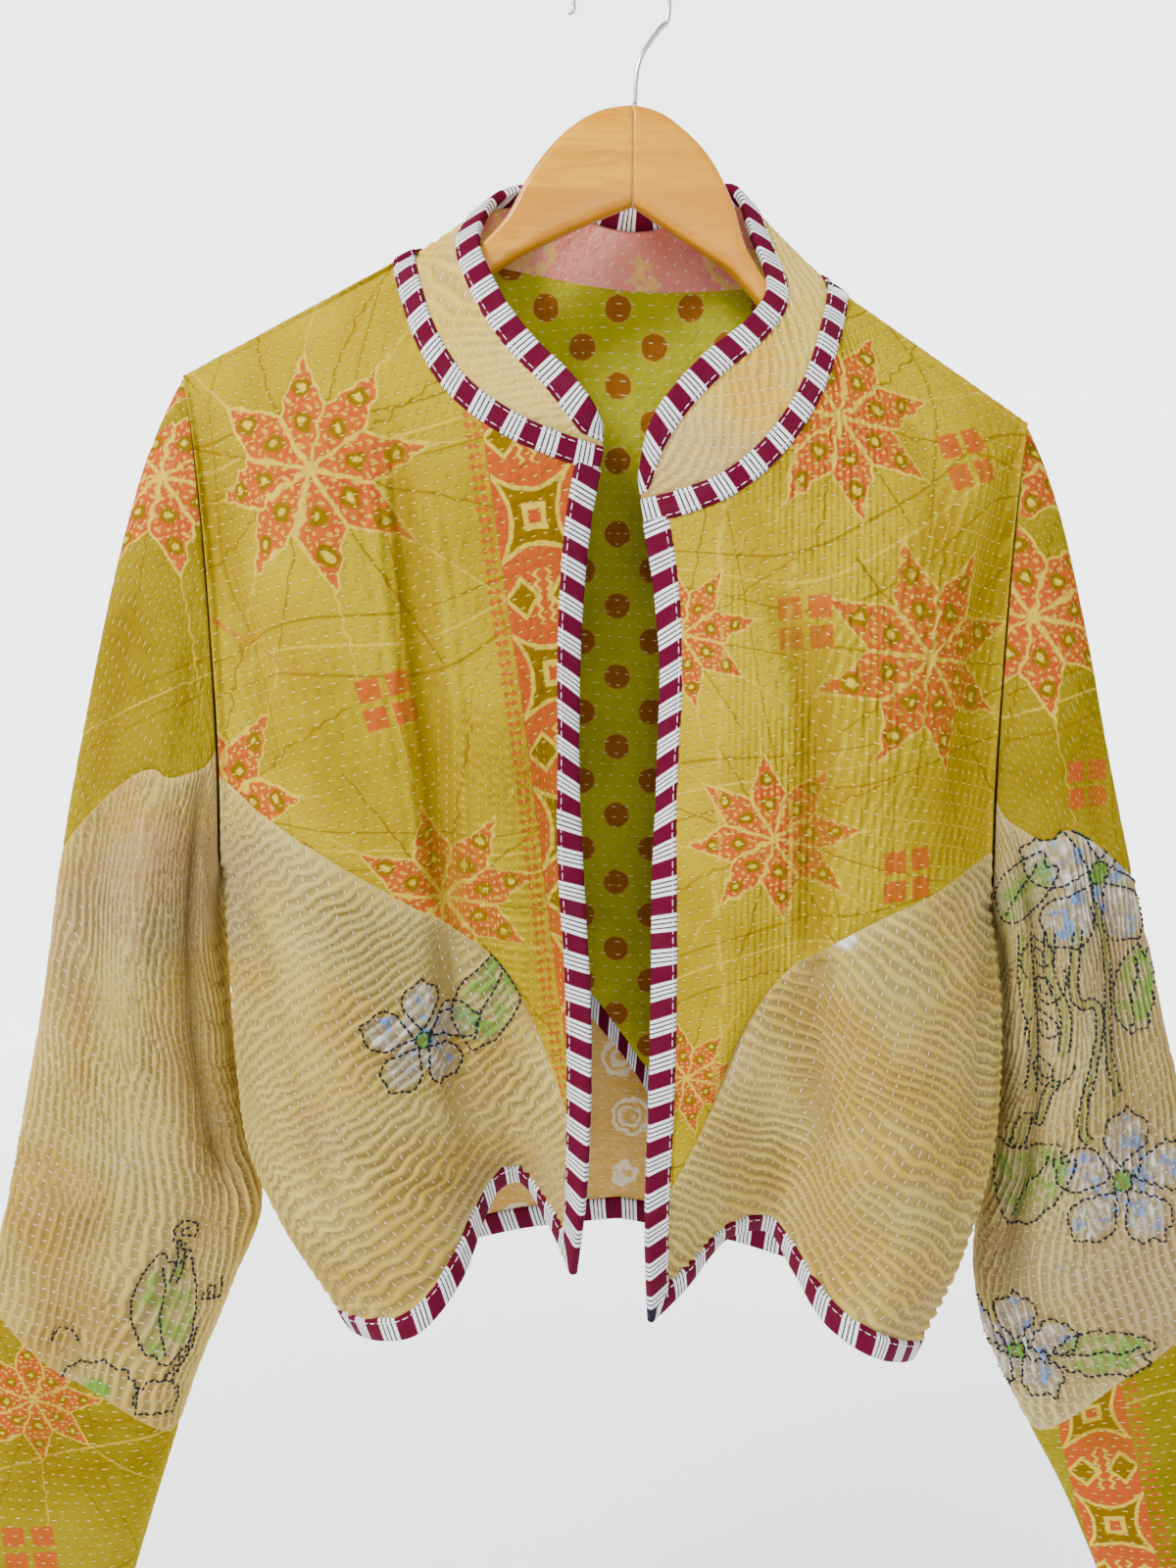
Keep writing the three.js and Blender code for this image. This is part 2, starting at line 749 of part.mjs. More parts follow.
wall({
  name: 'back_upper',
  colour: COLOURS.mustard,
  surface: back,
  normal: normals.back,
  columns: BACK_COLUMNS,
  rows: UPPER_BACK_ROWS,
  place: upperBackPlace,
  relief: backRelief(2, UPPER_BACK_ROWS - 1),
  closed: false,
});
wall({
  name: 'back_lower',
  colour: COLOURS.beige,
  surface: back,
  normal: normals.back,
  columns: BACK_COLUMNS,
  rows: LOWER_BACK_ROWS,
  place: lowerBackPlace,
  relief: backRelief(1, LOWER_BACK_ROWS - 2),
  closed: false,
});

// Sleeves: ridges of the quilting run from armhole to cuff
const CAP_COLUMNS = 16;
const CAP_ROWS = 7;
const REST_COLUMNS = 12;
const SLEEVE_COLUMNS = CAP_COLUMNS + REST_COLUMNS;
const MIDDLE_ROWS = 9;
const LOWER_ROWS = 5;
const CUFF_ROW = RIGHT_SLEEVE.length - 1;
function buildSleeve(side, surface, normal, seams) {
  const { capEnd } = seams;
  const angleOf = (column) => {
    const i = column % SLEEVE_COLUMNS;
    if (i <= CAP_COLUMNS) return capEnd * Math.sin(((i / CAP_COLUMNS) * 2 - 1) * 0.5 * Math.PI);
    return capEnd + (2 * (1 - capEnd) * (i - CAP_COLUMNS)) / REST_COLUMNS;
  };
  const capSeam = (angle) => {
    const away = Math.min(1, Math.abs(angle) / capEnd);
    const start = ARMHOLE_CLEARANCE;
    return start + (seams.capLength - start) * (1 - away ** 2) ** 0.58;
  };
  const lowerSeam = (angle) => {
    const inward = (1 - Math.cos(angle * Math.PI)) / 2;
    return lerp(seams.outer, seams.inner, inward);
  };
  const relief = (columns, rows) => (i, j) => {
    const border = j < 1 || j > rows - 1 || i < 1 || i > columns - 1;
    return border || i % 2 === 0 ? 0 : RIPPLE_HEIGHT;
  };
  const gap = 0.004;
  const shared = { surface, normal };
  wall({
    ...shared,
    name: `sleeve_${side}_upper`,
    colour: COLOURS.mustard,
    columns: CAP_COLUMNS,
    rows: CAP_ROWS,
    place: (i, j) => {
      const angle = angleOf(i) * 0.994;
      const end = Math.max(ARMHOLE_CLEARANCE, capSeam(angleOf(i)) - gap);
      return [angle, lerp(ARMHOLE_CLEARANCE, end, j / CAP_ROWS)];
    },
    relief: relief(CAP_COLUMNS - 1, CAP_ROWS),
    closed: false,
  });
  wall({
    ...shared,
    name: `sleeve_${side}_middle`,
    colour: COLOURS.beige,
    columns: SLEEVE_COLUMNS,
    rows: MIDDLE_ROWS,
    place: (i, j) => {
      const angle = angleOf(i);
      return [angle, lerp(capSeam(angle) + gap, lowerSeam(angle) - gap, j / MIDDLE_ROWS)];
    },
    relief: relief(SLEEVE_COLUMNS, MIDDLE_ROWS),
    closed: true,
  });
  const cuffInset = (angle) => {
    const length = speed(surface, angle, CUFF_ROW - 0.1, 0, 0.1);
    return CUFF_ROW - TAPE_WIDTH / length;
  };
  wall({
    ...shared,
    name: `sleeve_${side}_lower`,
    colour: COLOURS.mustard,
    columns: SLEEVE_COLUMNS,
    rows: LOWER_ROWS,
    place: (i, j) => {
      const angle = angleOf(i);
      if (j === LOWER_ROWS) return [angle, CUFF_ROW];
      return [angle, lerp(lowerSeam(angle) + gap, cuffInset(angle), j / (LOWER_ROWS - 1))];
    },
    relief: relief(SLEEVE_COLUMNS, LOWER_ROWS - 2),
    closed: true,
  });
  const rings = Array.from({ length: SLEEVE_COLUMNS }, (_, i) => {
    const angle = angleOf(i);
    const inset = cuffInset(angle);
    return foldedRing(
      surface(angle, CUFF_ROW),
      normal(angle, CUFF_ROW),
      surface(angle, inset),
      normal(angle, inset),
    );
  });
  sweep(`cuff_binding_${side}`, rings, { loop: true });
}
buildSleeve('right', rightSleeve, normals.rightSleeve, RIGHT_SLEEVE_SEAMS);
buildSleeve('left', leftSleeve, normals.leftSleeve, LEFT_SLEEVE_SEAMS);

// Collar, and the tape over its top edge
const COLLAR_COLUMNS = 34;
const collarStep = (i) => (collarRows * i) / COLLAR_COLUMNS;
function collarInset(t) {
  const height = collarSurface(t, 0).distanceTo(collarSurface(t, 1));
  return 1 - Math.min(0.8, TAPE_WIDTH / height);
}
wall({
  name: 'collar',
  colour: COLOURS.beige,
  surface: collarSurface,
  normal: normals.collar,
  columns: COLLAR_COLUMNS,
  rows: 3,
  place: (i, j) => {
    const t = collarStep(i);
    const inset = collarInset(t);
    const base = (SEAM_GAP + 0.4) / collarSurface(t, 0).distanceTo(collarSurface(t, 1));
    return [t, [base, lerp(base, inset, 0.5), inset, 1][j]];
  },
  closed: false,
});
sweep('collar_edge_binding', steps(COLLAR_COLUMNS, 0, COLLAR_COLUMNS).map((i) => {
  const t = collarStep(Math.round(i));
  const w = collarInset(t);
  return foldedRing(
    collarSurface(t, 1),
    normals.collar(t, 1),
    collarSurface(t, w),
    normals.collar(t, w),
  );
}));

// Tape over the neck seam, lying on the fronts and the back
const lying = (surface, normal, [u, v]) => ({ point: surface(u, v), out: normal(u, v) });
function neckRings(surface, normal, place, first, last) {
  return steps(Math.abs(last - first), first, last).map((column) => {
    const i = Math.round(column);
    return flatRing([
      lying(surface, normal, place(i, 0)),
      lying(surface, normal, place(i, 1)),
    ], 1);
  });
}
const neckBeforeLeft = FRONT_COLUMNS + 1 + BACK_COLUMNS + 1;
sweep('neck_seam_binding', [
  ...neckRings(frontRight, normals.frontRight, rightPlaces.upper, 0, FRONT_COLUMNS),
  ...neckRings(back, normals.back, upperBackPlace, 0, BACK_COLUMNS),
  ...neckRings(frontLeft, normals.frontLeft, leftPlaces.upper, FRONT_COLUMNS, 0),
], { falling: (k) => k >= neckBeforeLeft });

// Tape down each front edge, round the tip and along the hem to the side seam
function edgeBinding(name, surface, normal, places) {
  const ring = (edge, inside) => foldedRing(
    surface(...edge),
    normal(...edge),
    surface(...inside),
    normal(...inside),
  );
  const { upper, lower, upperRows, lowerRows } = places;
  const start = neckInset(surface, 0) + 0.004;
  const rings = [ring([0, start], [edgeInset(surface, start), start])];
  for (let j = 2; j < upperRows; j += 1) {
    const edge = upper(0, j);
    const inset = edgeInset(surface, edge[1]);
    rings.push(ring(edge, [inset, edge[1]]));
  }
  for (let j = WEDGE_ROWS; j < lowerRows; j += 1) {
    rings.push(ring(lower(0, j), lower(1, j)));
  }
  const corner = rings.length;
  rings.push(ring(lower(0, lowerRows), lower(1, lowerRows - 1)));
  for (let i = 1; i < FRONT_COLUMNS; i += 1) {
    rings.push(ring(lower(i, lowerRows), lower(i, lowerRows - 1)));
  }
  sweep(name, rings, { falling: (k) => k < corner });
}
edgeBinding('edge_binding_right', frontRight, normals.frontRight, rightPlaces);
edgeBinding('edge_binding_left', frontLeft, normals.frontLeft, leftPlaces);

const backHemRings = [];
for (let i = 1; i < BACK_COLUMNS; i += 1) {
  const edge = lowerBackPlace(i, LOWER_BACK_ROWS);
  const inside = lowerBackPlace(i, LOWER_BACK_ROWS - 1);
  backHemRings.push(foldedRing(
    back(...edge),
    normals.back(...edge),
    back(...inside),
    normals.back(...inside),
  ));
}
sweep('edge_binding_back', backHemRings);

// Tape over the V seam, on the inside of the back
const seamRings = [];
for (let i = 2; i <= BACK_COLUMNS - 2; i += 1) {
  seamRings.push(flatRing([
    lying(back, normals.back, upperBackPlace(i, UPPER_BACK_ROWS - 1)),
    lying(back, normals.back, [backColumn(i), backSeam(backColumn(i))]),
    lying(back, normals.back, lowerBackPlace(i, 1)),
  ], -1));
}
sweep('back_seam_tape', seamRings);

// Hanger: two arms meeting at the centre joint, and the hook
function arm(name, rows) {
  const at = tableOf(rows);
  const rings = steps(16, 0, rows.length - 1).map((t) => {
    const [x, top, bottom, depth] = at(t);
    const half = depth / 2;
    const edge = Math.min(3.2, (top - bottom) * 0.3);
    return [
      [-half + edge, top], [half - edge, top], [half, top - edge], [half, bottom + edge],
      [half - edge, bottom], [-half + edge, bottom], [-half, bottom + edge], [-half, top - edge],
    ].map(([y, z]) => vector(x, y, z));
  });
  rod(name, COLOURS.wood, rings);
}
arm('hanger_arm_right', RIGHT_ARM);
arm('hanger_arm_left', LEFT_ARM);

const hookCentre = -(HOOK_RADIUS - WIRE_RADIUS);
const bend = steps(20, -20, 185).map((degrees) => {
  const a = (degrees * Math.PI) / 180;
  return [HOOK_RADIUS * Math.cos(a), 0, hookCentre + HOOK_RADIUS * Math.sin(a)];
});
const wire = curve([...HOOK_STEM.map(([x, z]) => [x, 0, z]), ...bend, [-24, 0, hookCentre - 3.5]]);
rod('hanger_hook', COLOURS.steel, steps(34).map((t) => {
  const along = wire(Math.min(1, t + 1e-3)).sub(wire(Math.max(0, t - 1e-3))).normalize();
  const across = vector(0, 1, 0);
  const up = along.clone().cross(across);
  return steps(6, 0, 6).map((i) => {
    const a = (i * 2 * Math.PI) / 7;
    return moved(moved(wire(t), across, WIRE_RADIUS * Math.cos(a)), up, WIRE_RADIUS * Math.sin(a));
  });
}));

export default group;
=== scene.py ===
"""Looks of a short quilted kantha jacket on its wooden hanger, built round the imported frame.

Metres, +Z up, the front faces -Y. Right and left are the wearer's: right is -X.
The tables repeat the part's own sizes in millimetres, so each cloth lies on its solid's form.
"""

import logging
import math
from collections.abc import Callable, Sequence
from dataclasses import dataclass, field
from enum import Enum

import bpy
import numpy as np
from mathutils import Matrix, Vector
from mathutils.kdtree import KDTree


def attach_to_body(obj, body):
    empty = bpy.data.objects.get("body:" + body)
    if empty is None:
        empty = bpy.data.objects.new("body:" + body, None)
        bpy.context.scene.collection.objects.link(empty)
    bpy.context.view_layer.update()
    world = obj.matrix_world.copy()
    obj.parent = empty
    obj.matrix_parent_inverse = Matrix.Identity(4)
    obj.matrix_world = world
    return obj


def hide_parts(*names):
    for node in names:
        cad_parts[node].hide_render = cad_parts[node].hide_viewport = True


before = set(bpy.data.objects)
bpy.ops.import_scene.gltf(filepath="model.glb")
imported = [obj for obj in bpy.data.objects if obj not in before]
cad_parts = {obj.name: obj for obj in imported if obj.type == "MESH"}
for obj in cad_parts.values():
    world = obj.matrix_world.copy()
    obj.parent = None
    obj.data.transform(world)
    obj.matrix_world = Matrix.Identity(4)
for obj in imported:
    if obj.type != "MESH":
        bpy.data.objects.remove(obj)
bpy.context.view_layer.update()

LOG = logging.getLogger("jacket")
Array = np.ndarray
Surface = Callable[[Array, Array], Array]
Socket = bpy.types.NodeSocket
Colour = tuple[float, float, float]

MM = 0.001
WALL = 2.0 * MM
TAPE_WIDTH = 11.5 * MM

# Neck seam and top edge of the collar, from the right front end round the back to the left.
# Rows: base x, y, z, then top x, y, z
COLLAR_ROWS = (
    (-8, -31, -216, -9, -32, -206),
    (-25, -35, -211, -14, -38, -198),
    (-47, -38, -202, -25, -37, -184),
    (-68, -36, -187, -41, -31, -168),
    (-82, -30, -166, -55, -22, -148),
    (-91, -17, -141, -65, -10, -125),
    (-94, 0, -125, -64, 2, -109),
    (-84, 16, -121, -54, 14, -94),
    (-50, 30, -126, -30, 27, -88),
    (7, 36, -134, 6, 36, -95),
    (63, 30, -134, 35, 28, -91),
    (90, 16, -131, 54, 15, -92),
    (96, 0, -139, 61, 3, -114),
    (91, -17, -160, 68, -10, -141),
    (81, -30, -187, 58, -22, -159),
    (65, -36, -211, 38, -30, -176),
    (46, -38, -227, 22, -36, -193),
    (26, -36, -235, 12, -37, -210),
    (9, -31, -239, 8, -32, -229),
)
COLLAR_LAST = len(COLLAR_ROWS) - 1
BACK_NECK_ROW = 9

# Hanger hook's wire from the wood up to the start of its bend. Rows: x, z
HOOK_STEM = ((6.4, -61.6), (7, -50), (9, -42), (13.5, -35), (18.5, -29))
HOOK_RADIUS = 21.6
WIRE_RADIUS = 1.15

Rows = tuple[tuple[float, ...], ...]


class Side(Enum):
    """The wearer's side; the value is the sign of X there."""

    RIGHT = -1
    LEFT = 1

    @property
    def word(self) -> str:
        """The side as it stands in node names."""
        return self.name.lower()


@dataclass(frozen=True)
class HalfSizes:
    """The part's sizes on one side, in millimetres.

    Fields are rows of x, y, z unless they say otherwise.
    """

    front_edge: Rows
    hem: Rows
    side: Rows
    back_hem: Rows
    sleeve: Rows
    front_seam: Rows
    cap_end: float
    cap_length: float
    outer_seam: float
    inner_seam: float
    arm: Rows
    neck_row: int
    first_row: int


RIGHT_SIZES = HalfSizes(
    front_edge=(
        (-8, -31, -216), (-15, -31, -252), (-19, -31, -301), (-20, -31, -361), (-18, -33, -417),
        (-15, -37, -470), (-15, -41, -523), (-18, -46, -571), (-23, -49, -609),
    ),
    hem=(
        (-23, -49, -609), (-35, -24, -596), (-50, -5, -584), (-63, -14, -586), (-78, -50, -613),
        (-97, -64, -631), (-118, -58, -638), (-135, -34, -648), (-140, -14, -655), (-140, 4, -658),
    ),
    side=(
        (-196, -2, -470), (-195, -2, -521), (-191, 0, -566), (-175, 2, -608), (-140, 4, -658),
    ),
    back_hem=(
        (2, 32, -624), (-40, 35, -630), (-80, 36, -639), (-115, 32, -650), (-134, 20, -656),
        (-140, 4, -658),
    ),
    # Outer edge x, z, inner edge x, z, half depth, middle y, inward bow
    sleeve=(
        (-204, -180, -199, -415, 24, 0, 9), (-216, -202, -202, -427, 26, 0, 9),
        (-228, -230, -203, -441, 28, 0, 8), (-244, -279, -203, -462, 29, 0, 5),
        (-259, -336, -202, -490, 29, 0, 2), (-275, -401, -200, -525, 28, 0, 0),
        (-289, -470, -196, -562, 27, 1, 0), (-305, -537, -190, -603, 26, 2, 0),
        (-323, -608, -207, -647, 25, 2, 0), (-341, -672, -229, -700, 23, 2, 0),
        (-363, -745, -252, -768, 21, 1, 0), (-392, -838, -281, -858, 19, 0, 0),
    ),
    # Way across the panel, way down it
    front_seam=(
        (0.0, 0.872), (0.04, 0.84), (0.113, 0.75), (0.185, 0.674), (0.26, 0.622), (0.38, 0.575),
        (0.5, 0.533), (0.63, 0.508), (0.75, 0.497), (0.88, 0.489), (1.0, 0.478),
    ),
    cap_end=0.63,
    cap_length=5.1,
    outer_seam=8.58,
    inner_seam=9.48,
    # x, top z, bottom z, depth
    arm=(
        (5.4, -62.5, -105, 11), (-8, -64.5, -110, 12), (-20, -70, -115, 12),
        (-32, -80, -120, 12.5), (-43, -94, -125, 13), (-54, -112, -131, 12),
        (-75, -130, -144, 12), (-100, -138, -153, 13), (-140, -158, -172, 13),
        (-178, -178, -190, 12), (-190, -185, -194, 9),
    ),
    neck_row=6,
    first_row=0,
)
LEFT_SIZES = HalfSizes(
    front_edge=(
        (9, -31, -239), (16, -31, -279), (19, -33, -315), (18, -35, -360), (16, -39, -416),
        (16, -43, -472), (15, -49, -529), (14, -55, -581), (16, -59, -628),
    ),
    hem=(
        (16, -59, -628), (34, -41, -621), (56, -15, -611), (80, -5, -612), (90, -24, -622),
        (102, -52, -634), (121, -63, -643), (147, -40, -662), (156, -15, -671), (157, 4, -674),
    ),
    side=(
        (193, -2, -475), (196, -2, -525), (194, 0, -572), (182, 2, -622), (157, 4, -674),
    ),
    back_hem=(
        (2, 32, -624), (45, 35, -634), (88, 36, -647), (130, 32, -663), (151, 20, -672),
        (157, 4, -674),
    ),
    sleeve=(
        (191, -201, 187, -432, 24, 0, 8), (202, -224, 191, -444, 26, 0, 8),
        (212, -252, 195, -460, 28, 0, 7), (225, -299, 198, -484, 29, 0, 4),
        (238, -352, 200, -513, 29, 0, 2), (254, -412, 201, -546, 28, 0, 0),
        (270, -466, 200, -580, 27, 1, 0), (291, -538, 193, -622, 26, 2, 0),
        (315, -607, 199, -670, 25, 2, 0), (342, -675, 220, -717, 23, 2, 0),
        (371, -746, 251, -776, 21, 1, 0), (412, -836, 288, -862, 19, 0, 0),
    ),
    front_seam=(
        (0.0, 0.885), (0.05, 0.852), (0.1, 0.81), (0.16, 0.75), (0.215, 0.68), (0.29, 0.618),
        (0.39, 0.572), (0.49, 0.54), (0.6, 0.52), (0.76, 0.51), (0.88, 0.506), (1.0, 0.503),
    ),
    cap_end=0.655,
    cap_length=5.15,
    outer_seam=8.26,
    inner_seam=9.24,
    arm=(
        (5.7, -62.5, -105, 11), (18, -66, -113, 12), (31, -75, -121, 12),
        (42, -87, -128, 12.5), (51, -104, -134, 13), (59, -126, -142, 12),
        (76, -146, -159, 12), (101, -156, -170, 13), (135, -177, -190, 13),
        (167, -198, -209, 12), (177, -206, -213, 9),
    ),
    neck_row=12,
    first_row=COLLAR_LAST,
)
SIZES = {Side.RIGHT: RIGHT_SIZES, Side.LEFT: LEFT_SIZES}
CENTRE_BACK = ((7, 36, -134), (9, 39, -240), (7, 38, -380), (4, 35, -520), (2, 32, -624))
BACK_SEAM = (
    (-1.0, 0.49), (-0.6, 0.545), (-0.3, 0.635), (-0.08, 0.751), (0.05, 0.823), (0.12, 0.85),
    (0.19, 0.82), (0.32, 0.745), (0.6, 0.62), (1.0, 0.51),
)


def hermite(rows: Array, knots: Array, at: Array) -> Array:
    """Smooth curve through the rows of a table.

    Args:
        rows: one row per knot.
        knots: rising parameter of each row.
        at: parameters to read, of any shape.

    Returns:
        One row for each parameter.
    """
    slopes = np.empty_like(rows)
    slopes[1:-1] = (rows[2:] - rows[:-2]) / (knots[2:] - knots[:-2])[:, None]
    slopes[0] = (rows[1] - rows[0]) / (knots[1] - knots[0])
    slopes[-1] = (rows[-1] - rows[-2]) / (knots[-1] - knots[-2])
    at = np.asarray(at, float)
    i = np.clip(np.searchsorted(knots, at, side="left") - 1, 0, len(knots) - 2)
    span = (knots[i + 1] - knots[i])[..., None]
    s = np.clip((at[..., None] - knots[i][..., None]) / span, 0, 1)
    start = (2 * s**3 - 3 * s**2 + 1) * rows[i] + (s**3 - 2 * s**2 + s) * span * slopes[i]
    end = (3 * s**2 - 2 * s**3) * rows[i + 1] + (s**3 - s**2) * span * slopes[i + 1]
    return start + end


class Table:
    """Rows in millimetres, read in metres at any place between them."""

    def __init__(self, rows: Sequence[Sequence[float]], scale: float = MM) -> None:
        """Keeps the rows; the row number is the parameter."""
        self.rows = np.array(rows, float) * scale
        self.knots = np.arange(len(rows), dtype=float)

    def __call__(self, at: Array) -> Array:
        """The row at each parameter."""
        return hermite(self.rows, self.knots, at)


class Curve(Table):
    """Curve through points, with equal steps of the parameter giving equal lengths."""

    def __init__(self, points: Sequence[Sequence[float]], scale: float = MM) -> None:
        """Measures the chords between the points.

        Args:
            points: one row per point.
            scale: length of one unit of the points, in metres.
        """
        super().__init__(points, scale)
        chords = np.linalg.norm(np.diff(self.rows, axis=0), axis=1)
        self.knots = np.concatenate([[0.0], np.cumsum(chords)])

    def __call__(self, at: Array) -> Array:
        """The point at each share of the length."""
        return hermite(self.rows, self.knots, np.asarray(at, float) * self.knots[-1])


class Lookup(Table):
    """One value that depends on another."""

    def __init__(self, rows: Sequence[Sequence[float]]) -> None:
        """Keeps rows of place, value."""
        super().__init__([[row[1]] for row in rows], 1.0)
        self.knots = np.array([row[0] for row in rows], float)

    def __call__(self, at: Array) -> Array:
        """The value at each place."""
        return hermite(self.rows, self.knots, at)[..., 0]


def lerp(a: Array | float, b: Array | float, t: Array | float) -> Array | float:
    """Straight blend from a to b."""
    return a + (b - a) * t


def stacked(x: Array, y: Array, z: Array) -> Array:
    """Points from their three coordinates."""
    return np.stack(np.broadcast_arrays(x, y, z), axis=-1)


class SleeveForm:
    """Flattened tube from armhole to cuff: angle in half turns from the outer edge, row down."""

    LAST = 11.0

    def __init__(self, side: Side) -> None:
        """Reads the side's table."""
        self.side = side
        self.table = Table(SIZES[side].sleeve)

    def __call__(self, angle: Array, row: Array) -> Array:
        """Points of the cloth's outer face.

        Args:
            angle: half turns from the outer edge.
            row: rows down the sleeve.

        Returns:
            The points.
        """
        angle, row = np.broadcast_arrays(angle, row)
        values = self.table(row)
        outer_x, outer_z, inner_x, inner_z, depth, middle, bow = np.moveaxis(values, -1, 0)
        turn = angle * math.pi
        c = np.sign(np.cos(turn)) * np.abs(np.cos(turn)) ** 0.78
        s = np.sign(np.sin(turn)) * np.abs(np.sin(turn)) ** 0.78
        x = (outer_x + inner_x) / 2 + (outer_x - inner_x) / 2 * c - self.side.value * bow * s * s
        z = (outer_z + inner_z) / 2 + (outer_z - inner_z) / 2 * c
        return stacked(x, middle - depth * s, z)


class BodyHalf:
    """Half of the body's front or back: u from its middle to the side, v from neck to hem."""

    SHOULDER_PART = 0.27
    ARMHOLE_PART = 0.58
    ROLL_START = 0.7

    def __init__(self, side: Side, facing: int) -> None:
        """Joins the edges of the panel.

        Args:
            side: the wearer's side.
            facing: 1 for the front, -1 for the back.
        """
        sizes = SIZES[side]
        self.side = side
        self.facing = facing
        self.fullness = -18 * MM if facing > 0 else 0.0
        self.collar = Table(COLLAR_ROWS)
        self.start_row = sizes.first_row if facing > 0 else BACK_NECK_ROW
        self.neck_row = sizes.neck_row
        self.neck_point = self.collar(np.array(float(sizes.neck_row)))[:3]
        self.edge = Curve(sizes.front_edge if facing > 0 else CENTRE_BACK)
        self.hem = Curve(sizes.hem if facing > 0 else sizes.back_hem)
        self.sleeve = SleeveForm(side)
        underarm = self.armhole(np.array(1.0)) / MM
        self.below = Curve([tuple(underarm), *sizes.side])

    def neck(self, u: Array) -> Array:
        """The neck seam."""
        return self.collar(lerp(self.start_row, self.neck_row, u))[..., :3]

    def armhole(self, part: Array) -> Array:
        """The armhole from the shoulder tip to the underarm.

        Args:
            part: share of the way down.

        Returns:
            The points.
        """
        setback = lerp(0.1, 0.9, part) * MM
        return self.sleeve(self.facing * part, np.zeros_like(part)) + stacked(
            -self.side.value * setback, np.zeros_like(setback), np.zeros_like(setback)
        )

    def side_line(self, v: Array) -> Array:
        """Shoulder seam, then armhole, then side seam.

        Args:
            v: parameters down.

        Returns:
            The points.
        """
        shoulder, armhole = self.SHOULDER_PART, self.ARMHOLE_PART
        along = np.clip(v / shoulder, 0, 1)[..., None]
        tip = self.armhole(np.zeros_like(v))
        first = lerp(self.neck_point, tip, along)
        second = self.armhole(np.clip((v - shoulder) / (armhole - shoulder), 0, 1))
        third = self.below(np.clip((v - armhole) / (1 - armhole), 0, 1))
        v = v[..., None]
        return np.where(v < shoulder, first, np.where(v < armhole, second, third))

    def roll(self, u: Array, v: Array) -> Array:
        """How far the panel stands out from its side line.

        Args:
            u: parameters across.
            v: parameters down.

        Returns:
            1 at the middle, falling to 0 at the side line.
        """
        s = np.clip((u - self.ROLL_START) / (1 - self.ROLL_START), 0, 1)
        in_armhole = np.clip(1 - np.abs(v - 0.43) / 0.17, 0, 1)
        return lerp(np.sqrt(np.maximum(0, 1 - s * s)), 1 - s * s, in_armhole)

    def plain(self, u: Array, v: Array) -> Array:
        """The panel between its edge and its side line alone.

        Args:
            u: parameters across.
            v: parameters down.

        Returns:
            The points.
        """
        f, g = self.edge(v), self.side_line(v)
        swell = self.fullness * np.sin(math.pi * v) * np.sin(math.pi * np.minimum(u, 0.9))
        y = g[..., 1] + (f[..., 1] + swell - g[..., 1]) * self.roll(u, v)
        return stacked(lerp(f[..., 0], g[..., 0], u), y, lerp(f[..., 2], g[..., 2], u))

    def __call__(self, u: Array, v: Array) -> Array:
        """Points of the cloth's outer face.

        Args:
            u: parameters across.
            v: parameters down.

        Returns:
            The points.
        """
        u, v = np.broadcast_arrays(np.asarray(u, float), np.asarray(v, float))
        at_side = np.clip((u - 0.97) / 0.03, 0, 1)
        keep = stacked(np.ones_like(u), 1 - at_side, np.ones_like(u))
        neck_shift = (self.neck(u) - self.plain(u, np.zeros_like(v))) * keep
        hem_shift = (self.hem(u) - self.plain(u, np.ones_like(v))) * keep
        down = v[..., None]
        return self.plain(u, v) + neck_shift * (1 - down) ** 2 + hem_shift * down**3


class BackForm:
    """The whole back: u from the right side (-1) to the left (1), v from neck to hem."""

    def __init__(self) -> None:
        """Joins the two halves."""
        self.right = BodyHalf(Side.RIGHT, -1)
        self.left = BodyHalf(Side.LEFT, -1)

    def __call__(self, u: Array, v: Array) -> Array:
        """Points of the cloth's outer face.

        Args:
            u: parameters across.
            v: parameters down.

        Returns:
            The points.
        """
        u, v = np.broadcast_arrays(np.asarray(u, float), np.asarray(v, float))
        across = np.abs(u)
        return np.where((u < 0)[..., None], self.right(across, v), self.left(across, v))


class CollarForm:
    """The stand collar: u is the row of its table, v runs from the neck seam to the top edge."""

    def __init__(self) -> None:
        """Reads the table."""
        self.table = Table(COLLAR_ROWS)

    def __call__(self, u: Array, v: Array) -> Array:
        """Points of the cloth's outer face.

        Args:
            u: parameters across.
            v: parameters down.

        Returns:
            The points.
        """
        u, v = np.broadcast_arrays(np.asarray(u, float), np.asarray(v, float))
        row = self.table(u)
        return lerp(row[..., :3], row[..., 3:], v[..., None])


